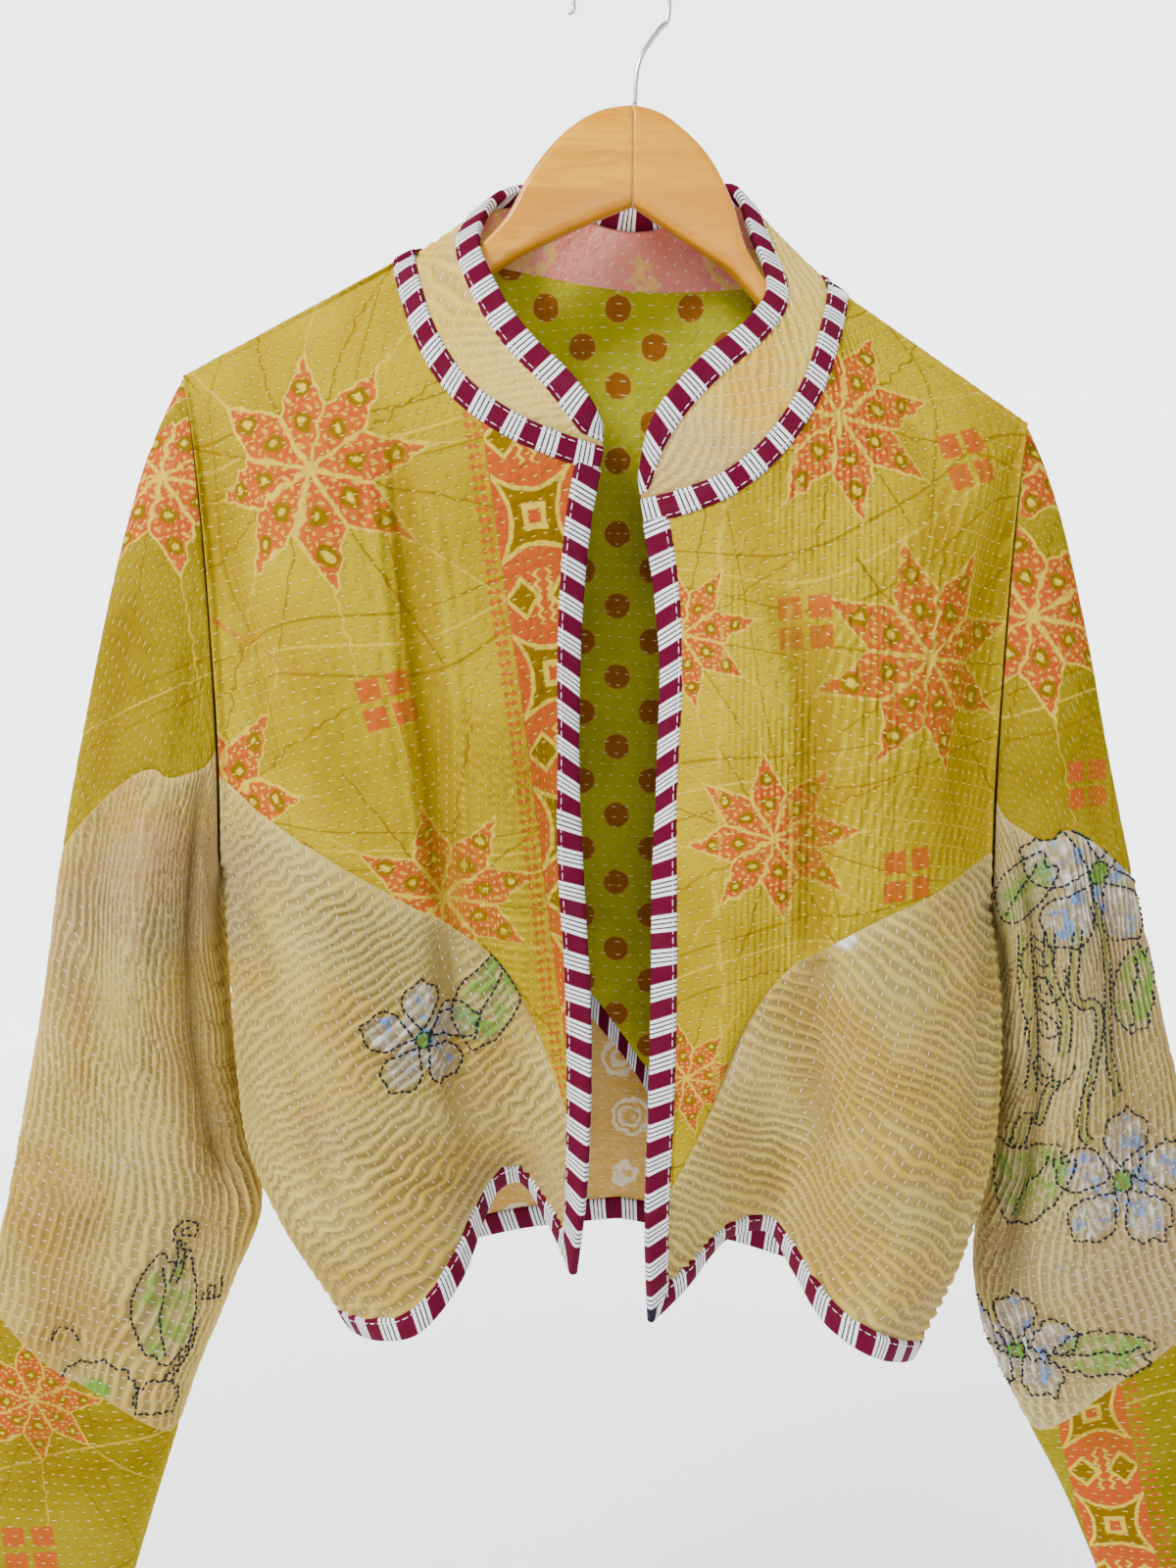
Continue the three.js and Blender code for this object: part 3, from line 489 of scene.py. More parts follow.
@dataclass
class Form:
    """A surface with its range, its outward side and its unrolled map.

    Attributes:
        surface: gives points for parameters.
        box: lowest and highest u, then v.
        outward: 1 or -1, so that normals point out of the garment.
        middle: the u from which the cloth is unrolled.
        tube: True where the pattern follows a sleeve's slant.
    """

    surface: Surface
    box: tuple[float, float, float, float]
    outward: int
    middle: float = 0.0
    tube: bool = False
    grid: tuple[Array, Array] = field(init=False)
    values: Array = field(init=False)

    def __post_init__(self) -> None:
        """Unrolls the surface on a regular grid."""
        u0, u1, v0, v1 = self.box
        us, vs = np.linspace(u0, u1, 241), np.linspace(v0, v1, 161)
        self.grid = (us, vs)
        across, down = np.meshgrid(us, vs)
        points = self.surface(across, down)
        start = int(np.argmin(np.abs(us - self.middle)))
        steps = np.diff(points, axis=1)
        if self.tube:
            lengths = np.linalg.norm(steps, axis=2)
        else:
            lengths = np.hypot(steps[..., 0], steps[..., 1])
        along = np.concatenate([np.zeros((len(vs), 1)), np.cumsum(lengths, axis=1)], axis=1)
        along -= along[:, start : start + 1]
        rows = np.linalg.norm(np.diff(points[:, start], axis=0), axis=1)
        length = np.concatenate([[0.0], np.cumsum(rows)])[:, None] + np.zeros_like(along)
        if self.tube:
            middle = points[:, start]
            inner, outer = self.surface(np.ones_like(vs), vs), self.surface(np.zeros_like(vs), vs)
            slant = (outer - inner)[:, [0, 2]]
            slant /= np.linalg.norm(slant, axis=1, keepdims=True)
            x = middle[:, :1] - along * slant[:, :1]
            z = middle[:, 2:] - along * slant[:, 1:]
            self.values = np.stack([x, z, along, length], axis=-1)
        else:
            way = np.sign(points[:, -1, 0] - points[:, start, 0])[:, None]
            x = points[:, start, :1] + way * along
            self.values = np.stack([x, points[..., 2], x, -points[..., 2]], axis=-1)

    def unrolled(self, u: Array, v: Array) -> Array:
        """Pattern x and z, then length across and down, at each parameter.

        Args:
            u: parameters across.
            v: parameters down.

        Returns:
            The four numbers, in metres.
        """
        us, vs = self.grid
        fu = (np.asarray(u, float) - us[0]) / (us[-1] - us[0]) * (len(us) - 1)
        fv = (np.asarray(v, float) - vs[0]) / (vs[-1] - vs[0]) * (len(vs) - 1)
        i = np.clip(np.floor(fu).astype(int), 0, len(us) - 2)
        j = np.clip(np.floor(fv).astype(int), 0, len(vs) - 2)
        s, t = (fu - i)[..., None], (fv - j)[..., None]
        low = lerp(self.values[j, i], self.values[j, i + 1], s)
        high = lerp(self.values[j + 1, i], self.values[j + 1, i + 1], s)
        return lerp(low, high, t)

    def normals(self, u: Array, v: Array) -> Array:
        """Directions out of the cloth.

        Args:
            u: parameters across.
            v: parameters down.

        Returns:
            Unit vectors.
        """
        u0, u1, v0, v1 = self.box
        eu, ev = 4e-4 * (u1 - u0), 4e-4 * (v1 - v0)
        low_u, high_u = np.maximum(u0, u - eu), np.minimum(u1, u + eu)
        low_v, high_v = np.maximum(v0, v - ev), np.minimum(v1, v + ev)
        across = self.surface(high_u, v) - self.surface(low_u, v)
        down = self.surface(u, high_v) - self.surface(u, low_v)
        out = np.cross(across, down) * self.outward
        return out / np.maximum(np.linalg.norm(out, axis=-1, keepdims=True), 1e-12)

    def inset(self, u: Array, v: Array, du: float, dv: float) -> Array:
        """How far a binding reaches in from an edge.

        Args:
            u: parameters of the places.
            v: parameters of the places.
            du: a small step inwards.
            dv: the same in the other parameter.

        Returns:
            Parameter steps that make one binding's width.
        """
        size = math.hypot(du, dv)
        step = np.linalg.norm(self.surface(u + du, v + dv) - self.surface(u, v), axis=-1)
        return TAPE_WIDTH * size / step


def drift(x: Array, z: Array, size: float, seed: int, waves: int = 7) -> Array:
    """Smooth unevenness over a cloth.

    Args:
        x: places across, in metres.
        z: places down, in metres.
        size: usual distance between its crests, in metres.
        seed: chooses the pattern.
        waves: how many plain waves are summed.

    Returns:
        Values of about -1 to 1.
    """
    random = np.random.default_rng(seed)
    total = np.zeros_like(x)
    for _ in range(waves):
        turn, phase = random.uniform(0, 2 * math.pi, 2)
        k = 2 * math.pi / (size * random.uniform(0.6, 1.7))
        total += np.sin(k * (x * math.cos(turn) + z * math.sin(turn)) + phase)
    return total / math.sqrt(waves * 1.2)


@dataclass(frozen=True)
class Quilting:
    """Rows of running stitch and the ripples that they pull up.

    Attributes:
        turn: direction of the stitching, in degrees from level.
        row_pitch: distance between rows, in metres.
        stitch_pitch: distance between stitches, in metres.
        height: from trough to ridge, in metres.
        stagger: True where each row starts half a stitch on, so no ripple runs through.
        wander: how far the ripples stray, in stitches.
        slant: how far each row starts behind the row before, in stitches.
        seed: chooses the unevenness.
    """

    turn: float
    row_pitch: float = 5.8 * MM
    stitch_pitch: float = 6.0 * MM
    height: float = 1.0 * MM
    stagger: bool = False
    wander: float = 0.8
    slant: float = 0.0
    seed: int = 1

    def places(self, across: Array, down: Array) -> tuple[Array, Array]:
        """Row number and stitch number at each place on the cloth.

        Args:
            across: lengths across the unrolled cloth.
            down: lengths down the unrolled cloth.

        Returns:
            The row numbers and the stitch numbers.
        """
        c, s = math.cos(math.radians(self.turn)), math.sin(math.radians(self.turn))
        along, over = across * c - down * s, across * s + down * c
        stray = drift(across, down, 0.09, self.seed) * self.wander
        stray += drift(across, down, 0.022, self.seed + 1) * self.wander * 0.22
        rows = over / self.row_pitch + drift(across, down, 0.16, self.seed + 2) * 0.5
        return rows, along / self.stitch_pitch + stray + self.slant * rows

    def relief(self, across: Array, down: Array, rows: Array, stitches: Array) -> Array:
        """Height of the quilting, with ridges between the stitches.

        Args:
            across: lengths across the unrolled cloth.
            down: lengths down the unrolled cloth.
            rows: row number at each place.
            stitches: stitch number at each place.

        Returns:
            The heights, in metres.
        """
        near = np.cos(2 * math.pi * rows) * -0.5 + 0.5
        if self.stagger:
            odd = np.floor(rows) % 2 * 0.5
            dip = (0.5 - 0.5 * np.cos(2 * math.pi * (stitches + odd))) * near
            return self.height * (0.5 - dip)
        strength = 0.8 + 0.28 * drift(across, down, 0.05, self.seed + 3)
        wave = 0.5 * np.cos(2 * math.pi * stitches)
        sharp = wave + 0.12 * np.cos(4 * math.pi * stitches)
        return self.height * strength * (sharp - 0.12 * near * (1 - wave))


@dataclass(frozen=True)
class Crease:
    """A soft trough or ridge along the cloth.

    Attributes:
        path: parameters of the points it runs through.
        width: half its width, in metres.
        height: of its crest, below zero for a trough, in metres.
    """

    path: tuple[tuple[float, float], ...]
    width: float
    height: float

    def relief(self, form: Form, x: Array, z: Array) -> Array:
        """Its height at each place of the unrolled cloth.

        Args:
            form: the cloth's form.
            x: pattern places across.
            z: pattern places down.

        Returns:
            The heights, in metres.
        """
        ends = np.array(self.path, float)
        line = form.unrolled(ends[:, 0], ends[:, 1])[:, 2:]
        smooth = Curve(line, 1.0)(np.linspace(0, 1, 25))
        best = np.full(x.shape, 1e9)
        share = np.zeros(x.shape)
        for k in range(len(smooth) - 1):
            (ax, az), (bx, bz) = smooth[k], smooth[k + 1]
            dx, dz = bx - ax, bz - az
            t = np.clip(((x - ax) * dx + (z - az) * dz) / (dx * dx + dz * dz), 0, 1)
            distance = np.hypot(x - ax - t * dx, z - az - t * dz)
            nearer = distance < best
            best = np.where(nearer, distance, best)
            share = np.where(nearer, (k + t) / (len(smooth) - 1), share)
        fade = np.clip(np.minimum(share, 1 - share) / 0.18, 0, 1)
        return self.height * np.exp(-((best / self.width) ** 2)) * fade


@dataclass(frozen=True)
class Motif:
    """A printed or painted figure.

    Attributes:
        place: parameters of its centre on the cloth.
        size: its radius, in metres.
        turn: in degrees.
    """

    place: tuple[float, float]
    size: float
    turn: float = 0.0


def local_places(form: Form, motifs: Sequence[Motif], x: Array, z: Array) -> Array:
    """Places in the frame of the nearest motif, in motif sizes.

    Args:
        form: the cloth's form.
        motifs: those of one kind on it.
        x: pattern places across.
        z: pattern places down.

    Returns:
        Local x and z, and 1 where the nearest motif may be drawn.
    """
    result = np.zeros((*x.shape, 3))
    result[..., 0] = 9.0
    nearest = np.full(x.shape, 1e9)
    second = np.full(x.shape, 1e9)
    for motif in motifs:
        cx, cz = form.unrolled(np.array(motif.place[0]), np.array(motif.place[1]))[:2]
        dx, dz = x - cx, z - cz
        distance = np.hypot(dx, dz)
        second = np.where(distance < nearest, nearest, np.minimum(second, distance))
        c, s = math.cos(math.radians(motif.turn)), math.sin(math.radians(motif.turn))
        local = np.stack([dx * c + dz * s, dz * c - dx * s, np.full(x.shape, motif.size)], -1)
        local[..., :2] /= motif.size
        result = np.where((distance < nearest)[..., None], local, result)
        nearest = np.minimum(nearest, distance)
    result[..., 2] = (second - nearest > 4 * MM) & (nearest < 1.0)
    return result


@dataclass(frozen=True)
class Vine:
    """A painted stem with a sewn outline on either side.

    Attributes:
        path: parameters of the points it runs through.
        half: half its width, in metres.
    """

    path: tuple[tuple[float, float], ...]
    half: float = 2.4 * MM

    def line(self, form: Form) -> Array:
        """Its middle line, as rows of pattern x and z."""
        ends = np.array(self.path, float)
        return Curve(form.unrolled(ends[:, 0], ends[:, 1])[:, :2], 1.0)(np.linspace(0, 1, 90))


def wavy(
    start: tuple[float, float], end: tuple[float, float], sway: tuple[float, float], waves: float
) -> tuple[tuple[float, float], ...]:
    """Points of an evenly waving line.

    Args:
        start: parameters of its first point.
        end: parameters of its last point.
        sway: how far it waves to either side, in both parameters.
        waves: number of waves.

    Returns:
        The points.
    """
    shares = np.linspace(0, 1, int(8 * waves) + 1)
    swing = np.sin(2 * math.pi * waves * shares)
    u = lerp(start[0], end[0], shares) + sway[0] * swing
    v = lerp(start[1], end[1], shares) + sway[1] * swing
    return tuple(zip(u, v))


def vine_places(form: Form, vines: Sequence[Vine], x: Array, z: Array) -> Array:
    """Distance to the nearest stem, in half widths, at pattern places.

    Args:
        form: the cloth's form.
        vines: the stems.
        x: pattern places across.
        z: pattern places down.

    Returns:
        Rows of three numbers, the first of them the distance.
    """
    nearest = np.full(x.shape, 9.0)
    for vine in vines:
        for px, pz in vine.line(form):
            nearest = np.minimum(nearest, np.hypot(x - px, z - pz) / vine.half)
    return stacked(nearest, np.zeros_like(x), np.zeros_like(x))


class MeshBuilder:
    """Gathers the points, faces and named values of one piece."""

    def __init__(self) -> None:
        """Starts empty."""
        self.points: list[Array] = []
        self.faces: list[list[int]] = []
        self.values: list[dict[str, Array]] = []
        self.count = 0

    def add(self, points: Array, faces: list[Array], values: dict[str, Array]) -> None:
        """Adds a layer.

        Args:
            points: one row per point.
            faces: arrays of corner numbers, one array for each number of corners.
            values: rows of three numbers per point, by name.
        """
        for group in faces:
            self.faces.extend((group + self.count).tolist())
        self.points.append(points)
        self.values.append(values)
        self.count += len(points)

    def build(self, name: str, material: bpy.types.Material) -> bpy.types.Object:
        """Makes the object, without loose points.

        Args:
            name: of the object.
            material: its finish.

        Returns:
            The object.
        """
        points = np.concatenate(self.points)
        used = np.zeros(len(points), bool)
        used[np.concatenate([np.array(face) for face in self.faces])] = True
        order = np.cumsum(used) - 1
        mesh = bpy.data.meshes.new(name)
        mesh.from_pydata(points[used].tolist(), [], [order[f].tolist() for f in self.faces])
        for key in sorted({key for values in self.values for key in values}):
            parts = [
                values.get(key, np.zeros((len(part), 3)))
                for values, part in zip(self.values, self.points)
            ]
            attribute = mesh.attributes.new(key, "FLOAT_VECTOR", "POINT")
            data = np.concatenate(parts)[used].astype(np.float32)
            attribute.data.foreach_set("vector", data.ravel())
        mesh.materials.append(material)
        mesh.polygons.foreach_set("use_smooth", np.ones(len(self.faces), bool))
        mesh.update()
        piece = bpy.data.objects.new(name, mesh)
        bpy.context.scene.collection.objects.link(piece)
        return piece


def grid_faces(v: Array, flip: bool) -> list[Array]:
    """Faces of a grid whose columns may stop early, at a seam.

    Args:
        v: rows of the second parameter; points of a column with the same one are one point.
        flip: turns the faces over.

    Returns:
        Quads and triangles as corner numbers.
    """
    rows, columns = v.shape
    fresh = np.ones(v.shape, bool)
    fresh[1:] = v[1:] != v[:-1]
    row = np.maximum.accumulate(np.where(fresh, np.arange(rows)[:, None], 0), axis=0)
    ids = row * columns + np.arange(columns)
    a, b, c, d = ids[:-1, :-1], ids[:-1, 1:], ids[1:, 1:], ids[1:, :-1]
    left, right = (a == d), (b == c)
    both = ~left & ~right
    quads = np.stack([a[both], b[both], c[both], d[both]], -1)
    to_right = left & ~right
    to_left = right & ~left
    triangles = np.concatenate([
        np.stack([a[to_right], b[to_right], c[to_right]], -1),
        np.stack([a[to_left], b[to_left], d[to_left]], -1),
    ])
    return [quads[:, ::-1], triangles[:, ::-1]] if flip else [quads, triangles]


def as_rows(values: Array) -> Array:
    """The values with one row for each point."""
    return values.reshape(-1, values.shape[-1])


def tube_faces(rings: int, sides: int) -> tuple[Array, list[Array]]:
    """Faces of a tube whose points come in rings.

    Args:
        rings: number of rings.
        sides: points in each.

    Returns:
        Its quads, and its two flat ends.
    """
    ids = np.arange(rings * sides).reshape(rings, sides)
    a, d = ids[:-1], ids[1:]
    quads = np.stack([a, d, np.roll(d, -1, 1), np.roll(a, -1, 1)], -1).reshape(-1, 4)
    return quads, [ids[:1], ids[-1:, ::-1]]


def outward(points: Array, quads: Array, ends: list[Array]) -> list[Array]:
    """Turns the faces of a closed form outwards.

    Args:
        points: one row per point.
        quads: its faces with four corners.
        ends: its flat ends.

    Returns:
        All the faces.
    """
    a, b, c, d = (points[quads[:, k]] for k in range(4))
    volume = np.einsum("ij,ij->i", a, np.cross(b, c)).sum()
    volume += np.einsum("ij,ij->i", a, np.cross(c, d)).sum()
    faces = [quads, *ends]
    return [group[:, ::-1] for group in faces] if volume < 0 else faces


@dataclass
class Cloth:
    """One cut piece of quilted cloth with its lining.

    Attributes:
        name: the CAD node that it stands for.
        form: its surface.
        span: lowest and highest u.
        start: gives the row where it begins, for each u.
        end: gives the row where it ends, for each u.
        steps: columns and rows of the outer face.
        quilting: its stitching.
        lining_steps: columns and rows of the inner face.
        creases: its folds.
        stars: printed stars.
        windows: printed squares.
        blooms: painted flowers.
        leaves: painted leaves.
        vines: painted stems.
        patch: stitching of a patch that runs another way, if there is one.
        patch_part: gives 1 inside that patch and 0 outside.
    """

    name: str
    form: Form
    span: tuple[float, float]
    start: Callable[[Array], Array]
    end: Callable[[Array], Array]
    steps: tuple[int, int]
    quilting: Quilting
    lining_steps: tuple[int, int] = (60, 70)
    creases: tuple[Crease, ...] = ()
    stars: tuple[Motif, ...] = ()
    windows: tuple[Motif, ...] = ()
    blooms: tuple[Motif, ...] = ()
    leaves: tuple[Motif, ...] = ()
    vines: tuple[Vine, ...] = ()
    patch: Quilting | None = None
    patch_part: Surface | None = None
    tree: KDTree | None = field(default=None, init=False)
    places: Array = field(init=False)
    outer: Array = field(init=False)
    normals: Array = field(init=False)
    area: float = field(default=0.0, init=False)
    flat: tuple[float, float] = field(default=(0.0, 0.0), init=False)

    def grid(self, steps: tuple[int, int]) -> tuple[Array, Array]:
        """Parameters of a regular grid that stops at the seams.

        Args:
            steps: columns and rows of the grid.

        Returns:
            Both parameters, as tables.
        """
        us = np.linspace(*self.span, steps[0])
        begin, stop = self.start(us), self.end(us)
        vs = np.linspace(begin.min(), stop.max(), steps[1])
        u, v = np.meshgrid(us, vs)
        return u, np.clip(v, begin[None, :], stop[None, :])

    def edge_distance(self, u: Array, v: Array) -> Array:
        """Rough distance to the piece's nearest edge, in metres.

        Args:
            u: parameters across.
            v: parameters down.

        Returns:
            The distances.
        """
        e = 1e-3
        point = self.form.surface(u, v)
        inside_u = np.where(u + e > self.span[1], u - e, u + e)
        inside_v = np.where(v + e > self.form.box[3], v - e, v + e)
        per_u = np.linalg.norm(self.form.surface(inside_u, v) - point, axis=-1) / e
        per_v = np.linalg.norm(self.form.surface(u, inside_v) - point, axis=-1) / e
        across = np.minimum(u - self.span[0], self.span[1] - u) * per_u
        down = np.minimum(v - self.start(u), self.end(u) - v) * per_v
        return np.minimum(across, down)

    def layer(self, builder: MeshBuilder, steps: tuple[int, int], inner: bool) -> None:
        """Adds the outer or the inner face to a mesh.

        Args:
            builder: the mesh.
            steps: columns and rows of the face.
            inner: True for the lining.
        """
        u, v = self.grid(steps)
        points, normals = self.form.surface(u, v), self.form.normals(u, v)
        x, z, across, down = np.moveaxis(self.form.unrolled(u, v), -1, 0)
        rows, stitches = self.quilting.places(across, down)
        ripple = self.quilting.relief(across, down, rows, stitches)
        if self.patch:
            part = self.patch_part(u, v)
            patch_rows, patch_stitches = self.patch.places(across, down)
            patch_ripple = self.patch.relief(across, down, patch_rows, patch_stitches)
            rows = np.where(part > 0.5, patch_rows, rows)
            stitches = np.where(part > 0.5, patch_stitches, stitches)
            ripple = lerp(ripple, patch_ripple, part)
        near = self.edge_distance(u, v)
        flatten = 1 - np.exp(-near / (4 * MM))
        height = sum((c.relief(self.form, across, down) for c in self.creases), np.zeros_like(u))
        height = height * (1 - np.exp(-near / (9 * MM)))
        # Ripple height with the crease troughs added, in millimetres; the cloth materials darken its low
        # values as painted shade and dirt.
        shade = (ripple * flatten + 0.14 * np.minimum(height, 0)) / (1 * MM)
        if inner:
            height = height - 0.9 * MM - (WALL - 1.1 * MM) * np.clip(near / (5 * MM), 0, 1)
        else:
            height = height + ripple * flatten
            height = height - 0.5 * MM * np.exp(-near / (1.6 * MM))
        moved = points + normals * height[..., None]
        flip = (self.form.outward < 0) != inner
        faces = grid_faces(v, not flip)
        values = {
            "print_place": as_rows(stacked(x, z, near)),
            "quilt_place": as_rows(stacked(rows, stitches, shade)),
        }
        if not inner:
            for name, motifs in (
                ("star_place", self.stars), ("window_place", self.windows),
                ("bloom_place", self.blooms), ("leaf_place", self.leaves),
            ):
                values[name] = as_rows(local_places(self.form, motifs, x, z))
            values["vine_place"] = as_rows(vine_places(self.form, self.vines, x, z))
            self.outer, self.normals = as_rows(moved), as_rows(normals)
            self.places = np.stack([x.ravel(), z.ravel()], -1)
            self.area = self.measure(as_rows(points), faces)
            live = np.unique(np.concatenate([f.ravel() for f in faces]))
            wide, long = np.ptp(across.ravel()[live]), np.ptp(down.ravel()[live])
            self.flat = (float(wide), float(long))
        builder.add(as_rows(moved), faces, values)

    @staticmethod
    def measure(points: Array, faces: list[Array]) -> float:
        """Area of a layer's faces, in square metres.

        Args:
            points: one row per point.
            faces: arrays of corner numbers.

        Returns:
            The area.
        """
        total = 0.0
        for group in faces:
            for k in range(1, group.shape[1] - 1):
                a, b, c = points[group[:, 0]], points[group[:, k]], points[group[:, k + 1]]
                total += float(np.linalg.norm(np.cross(b - a, c - a), axis=1).sum()) / 2
        return total

    def build(self, outer: bpy.types.Material, lining: bpy.types.Material) -> list[bpy.types.Object]:
        """Makes the cloth and its lining.

        Args:
            outer: material of the outside.
            lining: material of the inside.

        Returns:
            Both objects.
        """
        pieces = []
        for word, steps, material in (
            ("cloth", self.steps, outer),
            ("lining", self.lining_steps, lining),
        ):
            builder = MeshBuilder()
            self.layer(builder, steps, inner=word == "lining")
            pieces.append(builder.build(f"{self.name}_{word}", material))
        return pieces

    def on_cloth(self, places: Array, lift: float) -> tuple[Array, Array]:
        """Points and normals above pattern places.

        Args:
            places: rows of pattern x and z.
            lift: height above the cloth, in metres.

        Returns:
            Points, and the cloth's normals there.
        """
        if self.tree is None:
            self.tree = KDTree(len(self.places))
            for number, (x, z) in enumerate(self.places):
                self.tree.insert((x, z, 0.0), number)
            self.tree.balance()
        points, normals = [], []
        for x, z in places:
            found = self.tree.find_n((x, z, 0.0), 4)
            weights = np.array([1 / (f[2] + 1e-5) for f in found])
            weights /= weights.sum()
            index = [f[1] for f in found]
            points.append(weights @ self.outer[index])
            normals.append(weights @ self.normals[index])
        normal = np.array(normals)
        normal /= np.linalg.norm(normal, axis=1, keepdims=True)
        return np.array(points) + normal * lift, normal


# Places of a folded tape's section: share of its width in from the edge, and height, in metres
OUTER_LAY = ((1.0, 0.1), (0.975, 0.8), (0.9, 1.25), (0.7, 1.45), (0.45, 1.5), (0.2, 1.45), (0.0, 1.3))
OVER_EDGE = ((0.75, 0.9), (1.15, 0.1), (1.25, -1.0), (1.15, -2.1), (0.75, -2.9))
FLAT_LAY = (
    (1.0, 0.1), (0.97, 0.9), (0.85, 1.35), (0.6, 1.5), (0.4, 1.5), (0.15, 1.35), (0.03, 0.9), (0.0, 0.1),
)


@dataclass
class TapeRun:
    """Stations along a tape: points and normals of the cloth, from its edge inwards.

    Attributes:
        points: cloth points by station and by share of the width.
        normals: directions out of the cloth at them.
    """

    SHARES = np.linspace(0, 1, 9)
    points: Array
    normals: Array

    @classmethod
    def along(cls, form: Form, edge: Array, inside: Array) -> "TapeRun":
        """Reads a form between its edge and a line one width in.

        Args:
            form: the cloth's form.
            edge: rows of parameters on the edge.
            inside: rows of parameters one width in.

        Returns:
            The stations.
        """
        share = cls.SHARES[None, :]
        u = lerp(edge[:, :1], inside[:, :1], share)
        v = lerp(edge[:, 1:], inside[:, 1:], share)
        return cls(form.surface(u, v), form.normals(u, v))

    def joined(self, other: "TapeRun") -> "TapeRun":
        """This run followed by another.

        Args:
            other: the run that follows.

        Returns:
            The whole run.
        """
        return TapeRun(
            np.concatenate([self.points, other.points]),
            np.concatenate([self.normals, other.normals]),
        )

    def at(self, share: float, height: Array | float) -> Array:
        """Points at a share of the width, at a height above the cloth.

        Args:
            share: of the width, from the edge.
            height: above the cloth, in metres.

        Returns:
            The points, one for each station.
        """
        place = share * (len(self.SHARES) - 1)
        i = min(int(place), len(self.SHARES) - 2)
        point = lerp(self.points[:, i], self.points[:, i + 1], place - i)
        normal = lerp(self.normals[:, i], self.normals[:, i + 1], place - i)
        return point + normal * np.reshape(height, (-1, 1))

    def lengths(self) -> Array:
        """Length along the tape at each station."""
        middle = self.at(0.5, 0.0)
        steps = np.linalg.norm(np.diff(middle, axis=0), axis=1)
        return np.concatenate([[0.0], np.cumsum(steps)])


@dataclass
class Tape:
    """A striped tape, folded over an edge or lying flat on a seam.

    Attributes:
        name: the CAD node that it stands for.
        run: its stations.
        folded: True where it wraps an edge.
        inside: True where it lies on the inside of the garment.
        loop: True where it closes on itself.
        seed: shifts its stripes.
    """

    name: str
    run: TapeRun
    folded: bool = True
    inside: bool = False
    loop: bool = False
    seed: int = 0

    def section(self) -> list[tuple[Array, float]]:
        """Rings of the section as lines along the tape, with their place across it."""
        run = self.run
        length = run.lengths()
        swell = 1 + 0.12 * drift(length, length * 0.3, 0.02, self.seed + 40)
        lines: list[tuple[Array, float]] = []
        if not self.folded:
            side = -1 if self.inside else 1
            level = WALL if self.inside else 0.0
            for share, height in FLAT_LAY:
                lines.append((run.at(share, side * (level + height * MM * swell)), share))
            for share in (0.2, 0.8):
                lines.append((run.at(share, side * (level + 0.1 * MM) * np.ones_like(swell)), 0.5))
            return lines
        over = run.points[:, 0] - run.points[:, 1]
        over /= np.linalg.norm(over, axis=1, keepdims=True)
        edge, normal = run.points[:, 0], run.normals[:, 0]
        for share, height in OUTER_LAY:
            lines.append((run.at(share, height * MM * swell), share))
        for out, height in OVER_EDGE:
            lines.append((edge + over * out * MM * swell[:, None] + normal * height * MM, -0.1))
        for share, height in reversed(OUTER_LAY):
            lines.append((run.at(share, -WALL - height * MM * swell), share))
        return lines

    def build(self, material: bpy.types.Material) -> bpy.types.Object:
        """Makes the tape as one closed form.

        Args:
            material: its finish.

        Returns:
            The object.
        """
        lines = self.section()
        points = np.stack([line for line, _ in lines], axis=1)
        stations, size = points.shape[:2]
        across = np.array([share for _, share in lines])
        length = self.run.lengths()
        values = stacked(length[:, None], across[None, :], float(self.seed))
        ids = np.arange(stations * size).reshape(stations, size)
        following = np.roll(ids, -1, axis=0) if self.loop else ids[1:]
        current = ids if self.loop else ids[:-1]
        beside = np.roll(current, -1, axis=1), np.roll(following, -1, axis=1)
        quads = np.stack([current, *beside, following], -1).reshape(-1, 4)
        ends = [] if self.loop else [ids[:1, ::-1], ids[-1:]]
        points = as_rows(points)
        builder = MeshBuilder()
        builder.add(points, outward(points, quads, ends), {"tape_place": as_rows(values)})
        return builder.build(self.name + "_tape", material)


